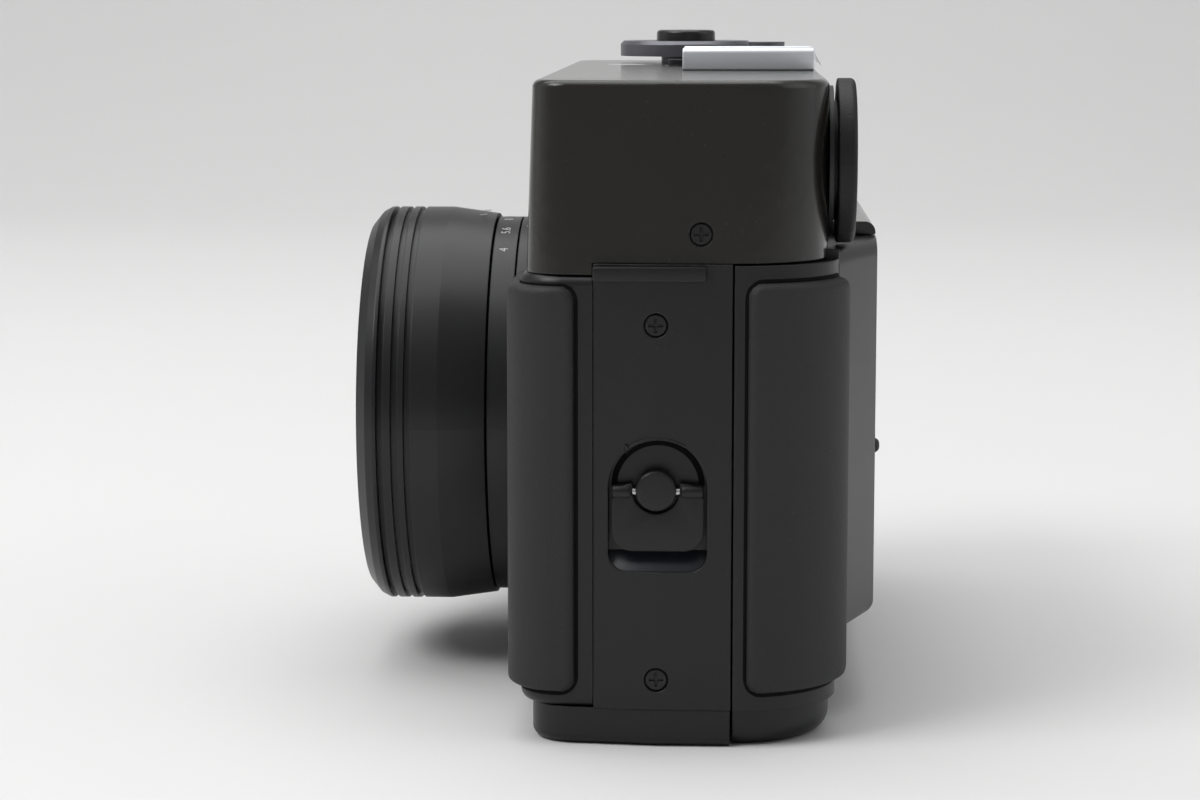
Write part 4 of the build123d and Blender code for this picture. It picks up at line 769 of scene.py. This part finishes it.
# %% Ramp of the latch well
RAMP_PLACE = Vector((0.0705, -0.00375, 0.0283))
RAMP_SIZE = Vector((0.0023, 0.0148, 0.0033))
RAMP_TOP_X, RAMP_TOP_Z = 0.06945, 0.0299
ramp = start("cube", "well_ramp", size=1, location=RAMP_PLACE, scale=RAMP_SIZE)
bpy.ops.object.transform_apply(location=True, rotation=True, scale=True)
edge = RAMP_PLACE + RAMP_SIZE / 2
select_where(ramp, lambda point: point.x > RAMP_PLACE.x and point.z > RAMP_PLACE.z)
bpy.ops.transform.translate(value=(RAMP_TOP_X - edge.x, 0, RAMP_TOP_Z - edge.z))
bpy.ops.object.mode_set(mode="OBJECT")
# Its paler blue-grey finish is painted light, the sky light that the slope catches from above.
settle(ramp, "body", "ramp_painted_light", "body_plastic", bevel=0.00015)

# %% [markdown]
# A dark strip of painted shade lies round the upper half of the well's floor,
# beside the hub, where the top of the well is in shade. Above the well a raised
# arc ends in a plain arrow head, to say which way the key turns. Each arc is a
# small rectangle spun about the middle of the well. The well's floor is found
# with a ray, so that the painted shade lies on it.

# %% Painted shade in the well, and arc
MARK_CENTRE = (-0.00365, 0.03928)
MARK_RADIUS = 0.00784
MARK_LOW, MARK_HIGH = 0.0724, 0.07262
WELL_CENTRE = (-0.00375, 0.0396)
WELL_SHADE_RADIUS = 0.0066


def arc_strip(name, centre, radius, width, start_angle, end_angle, low, high):
    """Spin a rectangle about the X axis; rotate and spin count angles backwards here."""
    middle = (0, *centre)
    strip = start("plane", name, size=1, location=((low + high) / 2, centre[0] + radius, centre[1]))
    strip.scale = (high - low, width, 1)
    bpy.ops.object.transform_apply(location=True, rotation=True, scale=True)
    enter_edit(strip)
    bpy.ops.transform.rotate(value=-start_angle, orient_axis="X", center_override=middle)
    bpy.ops.mesh.spin(steps=28, angle=start_angle - end_angle, center=middle, axis=(1, 0, 0))
    bpy.ops.mesh.select_all(action="SELECT")
    bpy.ops.mesh.remove_doubles(threshold=1e-7)
    close_outward()
    return strip


plate = frame["nodes"]["side_plate"]
above_floor = Vector((0.09, WELL_CENTRE[0], WELL_CENTRE[1] + 0.0062))
found, well_floor, _, _ = plate.ray_cast(above_floor, Vector((-1, 0, 0)))
print("well floor at x", round(well_floor.x * 1000, 2) if found else None, "mm")
# This dark strip is painted shade for the shadowed top of the well.
well_shade = arc_strip("well_floor_painted_shade", WELL_CENTRE, WELL_SHADE_RADIUS, 0.0009, 0, math.pi,
                 well_floor.x - 0.0002, well_floor.x + 0.00006)
settle(well_shade, "body", "painted_shade_black", "body_plastic")
mark = arc_strip("turning_mark", MARK_CENTRE, MARK_RADIUS, 0.00045, math.radians(58),
                 math.radians(124), MARK_LOW, MARK_HIGH)
settle(mark, "body", "body_plastic", bevel=0.00007, segments=2)

# %% [markdown]
# The arrow head starts as a cone with three sides. Its base is bent along the
# arc and laid on the plate, and its point becomes the small rise in the
# middle of the head.

# %% Head of the turning mark
TIP_ANGLE = math.radians(126)
head = start("cone", "turning_mark_head", vertices=3, radius1=0.0009, radius2=0.0, depth=0.0003)


def press_head(point):
    raised = point.z > 0
    sideways, outwards = (0, 0) if raised else (point.x, point.y)
    reach = MARK_RADIUS + outwards
    angle = TIP_ANGLE + sideways / MARK_RADIUS
    y = MARK_CENTRE[0] + reach * math.cos(angle)
    z = MARK_CENTRE[1] + reach * math.sin(angle)
    return Vector((MARK_HIGH if raised else MARK_LOW, y, z))


move_points(head, press_head)
enter_edit(head)
close_outward()
settle(head, "body", "body_plastic")

# %% [markdown]
# Rings round the lens are made as on a lathe: the cross-section is drawn as a
# closed loop and spun about the lens axis. The thread that takes a filter is a
# row of fine ridges just inside the front rim. A real thread is a helix, but
# at half a millimetre of pitch closed rings look the same.

# %% Filter thread
LENS_AXIS_Z = 0.0426
RIDGE_BACK = 0.0002


def spin_profile(name, profile, steps=128):
    """Spin a closed loop of (radius, y) points about the lens axis."""
    ring = start("circle", name, vertices=len(profile), radius=0.01)
    for vertex, (radius, along) in zip(ring.data.vertices, profile):
        vertex.co = (radius, along, 0)
    enter_edit(ring)
    bpy.ops.mesh.spin(steps=steps, angle=2 * math.pi, center=(0, 0, 0), axis=(0, 1, 0))
    bpy.ops.mesh.select_all(action="SELECT")
    bpy.ops.mesh.remove_doubles(threshold=1e-6)
    close_outward()
    ring.location = (0, 0, LENS_AXIS_Z)
    return ring


def thread_profile(root, crest, start_at, pitch, turns):
    points = [(root + RIDGE_BACK, start_at)]
    for turn in range(turns):
        base = start_at + turn * pitch
        points += [(root, base), (crest, base + pitch * 0.5), (root, base + pitch)]
    return points + [(root + RIDGE_BACK, start_at + turns * pitch)]


ridges = thread_profile(root=0.02865, crest=0.02835, start_at=-0.0537, pitch=0.0005, turns=4)
settle(spin_profile("filter_thread_ridges", ridges), "lens_cell", "lens_black")

# %% [markdown]
# Behind the front glass the lens is lined with thin rings. One holds the
# glass, and four baffles with sharp inner edges keep stray light off the film.

# %% Glass seat and light baffles
RETAINER = [(0.0197, -0.0498), (0.0203, -0.0505), (0.0211, -0.0507),
            (0.0217, -0.0506), (0.0217, -0.0500), (0.0197, -0.0492)]
BAFFLES = ((-0.0420, 0.0150), (-0.0400, 0.0138), (-0.0318, 0.0136), (-0.0290, 0.0148))
BAFFLE_RADIUS, THICK, SHARP = 0.0171, 0.0003, 0.00008
settle(spin_profile("front_glass_retainer", RETAINER), "lens_cell", "lens_black", smooth=50)
for index, (y, inner) in enumerate(BAFFLES):
    section = [(BAFFLE_RADIUS, y - THICK), (BAFFLE_RADIUS, y + THICK),
               (inner, y + SHARP), (inner, y - SHARP)]
    baffle = spin_profile(f"light_baffle_{index}", section, steps=96)
    settle(baffle, "lens_cell", "shutter_metal")

# %% [markdown]
# The shutter sits between the lens groups. Its five thin blades close the
# opening and overlap like petals. One blade is shaped from a flat circle that
# is bent into a petal, tilted a little so that it passes under the next one,
# and given its thickness. Then it is copied round the axis.

# %% Shutter blades
BLADES = 5
BLADE_RADIUS = 0.0092
BLADE_Y = -0.0364
BLADE_THICK = 0.00008
BLADE_STEP = 0.00003


def petal(point):
    outwards = 0.0042 + point.x * 0.9
    sideways = point.y * 0.78 + 0.0028 * math.sin(point.x / BLADE_RADIUS * 1.4)
    tilt = 0.00016 * (point.y / BLADE_RADIUS)
    return Vector((outwards, BLADE_Y + tilt, sideways))


pattern = start("circle", "blade_pattern", vertices=40, radius=BLADE_RADIUS, fill_type="NGON")
move_points(pattern, petal)
enter_edit(pattern)
draw_out((0, BLADE_THICK, 0))
close_outward()
for index in range(BLADES):
    turned = Matrix.Rotation(-2 * math.pi * index / BLADES, 4, "Y")
    lifted = Matrix.Translation((0, index * BLADE_STEP, LENS_AXIS_Z))
    blade = copy_of(pattern, f"shutter_blade_{index}", lifted @ turned)
    settle(blade, "lens_cell", "shutter_metal")
bpy.data.objects.remove(pattern)

# %% [markdown]
# Scales are paint filled into shallow cuts. Each number is a text object made
# into a mesh, laid on its ring or dial with its foot towards the photographer.
# Only plain numbers and index marks are used.

# %% Make and lay a mark
MARK_DEPTH = 0.00003


def number(text, size, matrix):
    bpy.ops.object.select_all(action="DESELECT")
    bpy.ops.object.text_add()
    mark = bpy.context.object
    mark.data.body = text
    mark.data.size = size
    mark.data.align_x = "CENTER"
    mark.data.align_y = "CENTER"
    mark.data.extrude = MARK_DEPTH
    mark.data.resolution_u = 3
    bpy.ops.object.convert(target="MESH")
    mark = bpy.context.object
    mark.data.transform(matrix)
    return mark


def bar(width, height, matrix):
    mark = start("cube", "bar", size=1, scale=(width, height, 2 * MARK_DEPTH))
    bpy.ops.object.transform_apply(location=True, rotation=True, scale=True)
    mark.data.transform(matrix)
    return mark


def join(name, parts):
    bpy.ops.object.select_all(action="DESELECT")
    for part in parts:
        part.select_set(True)
    bpy.context.view_layer.objects.active = parts[0]
    if len(parts) > 1:
        bpy.ops.object.join()
    bpy.context.object.name = name
    return bpy.context.object


print("marks are", MARK_DEPTH * 2000, "mm thick")

# %% [markdown]
# The dial's numbers stand in a ring, each turned to face the middle. An orange
# bar marks the automatic setting, and a white bar on the cover is the index.

# %% Numbers and marks on the dial
TOP_FACE = 0.1002
DIAL_CENTRE = (-0.024, 0.009)
DIAL_TOP = TOP_FACE + 0.0031
DIAL_RING = 0.0072
SPEEDS = ("500", "250", "125", "60", "30", "15", "8", "4", "2", "1")


def on_top(x, y, z, angle=0.0, radius=0.0):
    """Matrix that lays a mark on a top face, turned about a dial's centre."""
    turned = Matrix.Rotation(math.pi + angle, 4, "Z")
    return Matrix.Translation((x, y, z)) @ turned @ Matrix.Translation((0, radius, 0))


marks = [number(text, 0.0021, on_top(*DIAL_CENTRE, DIAL_TOP, math.radians(118 - 26 * i), DIAL_RING))
         for i, text in enumerate(SPEEDS)]
settle(join("speed_numbers", marks), "shutter_dial", "mark_white", "control_metal")
auto = bar(0.0009, 0.0020, on_top(*DIAL_CENTRE, DIAL_TOP, math.radians(152), DIAL_RING))
settle(join("auto_mark", [auto]), "shutter_dial", "mark_orange", "control_metal")
index_mark = bar(0.0005, 0.0022, on_top(*DIAL_CENTRE, TOP_FACE, 0.0, 0.0126))
settle(join("dial_index", [index_mark]), "body", "mark_white", "top_paint")

# %% [markdown]
# On the lens the marks stand on a cone or a cylinder. A matrix built from
# three directions, across, up and out, lays each one on the barrel: angle 0
# is the top, and a positive angle goes to the photographer's right.

# %% Numbers and marks on the lens
BARREL = 0.0322
STOPS = ("4", "5.6", "8", "11", "16", "22")
METRES = ("1", "1.2", "1.5", "2", "3", "5", "10")
DEPTH_LINES = (-14, -9, -5, 5, 9, 14)


def on_barrel(angle, radius, y, tilt=0.0):
    out = Vector((-math.sin(angle), 0, math.cos(angle)))
    up = Vector((0, -1, 0))
    turned = Matrix((up.cross(out), up, out)).transposed().to_4x4()
    place = Matrix.Translation(Vector((0, y, LENS_AXIS_Z)) + out * radius)
    return place @ turned @ Matrix.Rotation(tilt, 4, "X")


marks = [number(text, 0.0022, on_barrel(math.radians(-30 + 12 * i), BARREL, -0.0308))
         for i, text in enumerate(STOPS)]
settle(join("aperture_numbers", marks), "aperture_ring", "mark_white", "lens_black")
marks = [bar(0.0004, 0.0016, on_barrel(0, BARREL, -0.0270))]
marks += [bar(0.0002, 0.0012, on_barrel(math.radians(line), BARREL, -0.0269))
          for line in DEPTH_LINES]
settle(join("lens_index_lines", marks), "body", "mark_white", "lens_black")
lean = math.radians(-8)
marks = [number(text, 0.0024, on_barrel(math.radians(-8 + 14 * i), 0.03325, -0.0352, tilt=lean))
         for i, text in enumerate(METRES)]
settle(join("distance_numbers", marks), "focus_ring", "mark_white", "lens_black")

# %% [markdown]
# The frame counter is a small disc that turns by one number with each frame.
# A fixed mark above it, under the same window, points at the number.

# %% Numbers of the frame counter
COUNTER_CENTRE = (-0.033, -0.012)
FRAMES = 16
disc_top = TOP_FACE - 0.0024
marks = [number(str(i + 1), 0.0019, on_top(*COUNTER_CENTRE, disc_top, math.radians(20 * i), 0.0050))
         for i in range(FRAMES)]
settle(join("counter_numbers", marks), "counter_disc", "mark_white", "shutter_metal")
pointer = bar(0.0003, 0.0010, on_top(*COUNTER_CENTRE, TOP_FACE - 0.0014, 0.0, 0.0028))
settle(join("counter_index", [pointer]), "body", "mark_orange", "black_plastic")

# %% [markdown]
# The foot of a flash is held down by two thin leaf springs under the lips of
# the shoe. One is a strip bowed downwards, with a small hook over the rear
# end, and the other is its mirrored copy. A mirror turns faces inside out, so
# they are turned back. Three low domes in the floor are the contacts.

# %% Springs and contacts in the hot shoe
SHOE_FRONT, SHOE_BACK = -0.0002, 0.0209
SPRING_TOP = TOP_FACE + 0.0028 - 0.00035
SPRING_BOW = 0.00055
SPRING_THICK = 0.00018
HOOK_STARTS, HOOK_DROP = 0.96, 0.0016
PINS = ((0, 0.0098, 0.0011), (0.0028, 0.0056, 0.0005), (-0.0028, 0.0056, 0.0005))


def bow(point):
    share = point.y + 0.5
    x = -0.0079 - point.x * 0.0024
    y = SHOE_FRONT + 0.0006 + share * (SHOE_BACK - SHOE_FRONT + 0.0004)
    z = SPRING_TOP - SPRING_BOW * math.sin(math.pi * min(share * 1.15, 1.0))
    if share > HOOK_STARTS:
        z -= HOOK_DROP * (share - HOOK_STARTS) / (1 - HOOK_STARTS)
    return Vector((x, y, z))


right = start("grid", "shoe_spring_right", x_subdivisions=2, y_subdivisions=24, size=1)
move_points(right, bow)
enter_edit(right)
draw_out((0, 0, SPRING_THICK))
close_outward()
left = copy_of(right, "shoe_spring_left", Matrix.Scale(-1, 4, (1, 0, 0)))
enter_edit(left)
close_outward()
for strip in (right, left):
    settle(strip, "body", "bright_steel")
pins = [start("uv_sphere", "pin", segments=24, ring_count=12, radius=radius,
              location=(x, y, TOP_FACE + 0.00092), scale=(1, 1, 0.35))
        for x, y, radius in PINS]
settle(join("flash_contact_pins", pins), "body", "bright_steel", smooth=80)

# %% [markdown]
# Each window in the front sits in a thin moulded frame. A frame is a plane
# whose face is inset and whose middle is removed, then drawn out and bevelled.

# %% Window frames
FRAME_BORDER, FRAME_PROUD, FRAME_DEPTH = 0.0007, 0.0003, 0.0007
for node in ("finder_window", "frosted_window", "rangefinder_window"):
    low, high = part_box(node)
    middle = (Vector(low) + Vector(high)) / 2
    rim = start("plane", f"{node}_frame", size=1, rotation=(math.pi / 2, 0, 0),
                location=(middle.x, low[1] - FRAME_PROUD, middle.z))
    rim.scale = (high[0] - low[0], high[2] - low[2], 1)
    bpy.ops.object.transform_apply(location=True, rotation=True, scale=True)
    enter_edit(rim)
    bpy.ops.mesh.inset(thickness=FRAME_BORDER, use_boundary=True)
    bpy.ops.mesh.delete(type="FACE")
    bpy.ops.mesh.select_all(action="SELECT")
    draw_out((0, FRAME_DEPTH, 0))
    close_outward()
    settle(rim, "body", "black_plastic", bevel=0.00012, segments=2)

# %% [markdown]
# Inside, the film slides on two polished rails, above and below the gate.
# They show when the door is open. Each is a thin bar with its edges bevelled.

# %% Film rails
RAIL_FROM_AXIS = 0.0291
upper = start("cube", "film_rail_upper", size=1, scale=(0.046, 0.00026, 0.0012),
              location=(0, 0.01608, LENS_AXIS_Z + RAIL_FROM_AXIS))
bpy.ops.object.transform_apply(location=True, rotation=True, scale=True)
lower = copy_of(upper, "film_rail_lower", Matrix.Translation((0, 0, -2 * RAIL_FROM_AXIS)))
for rail in (upper, lower):
    settle(rail, "body", "bright_steel", bevel=0.0001, segments=2)
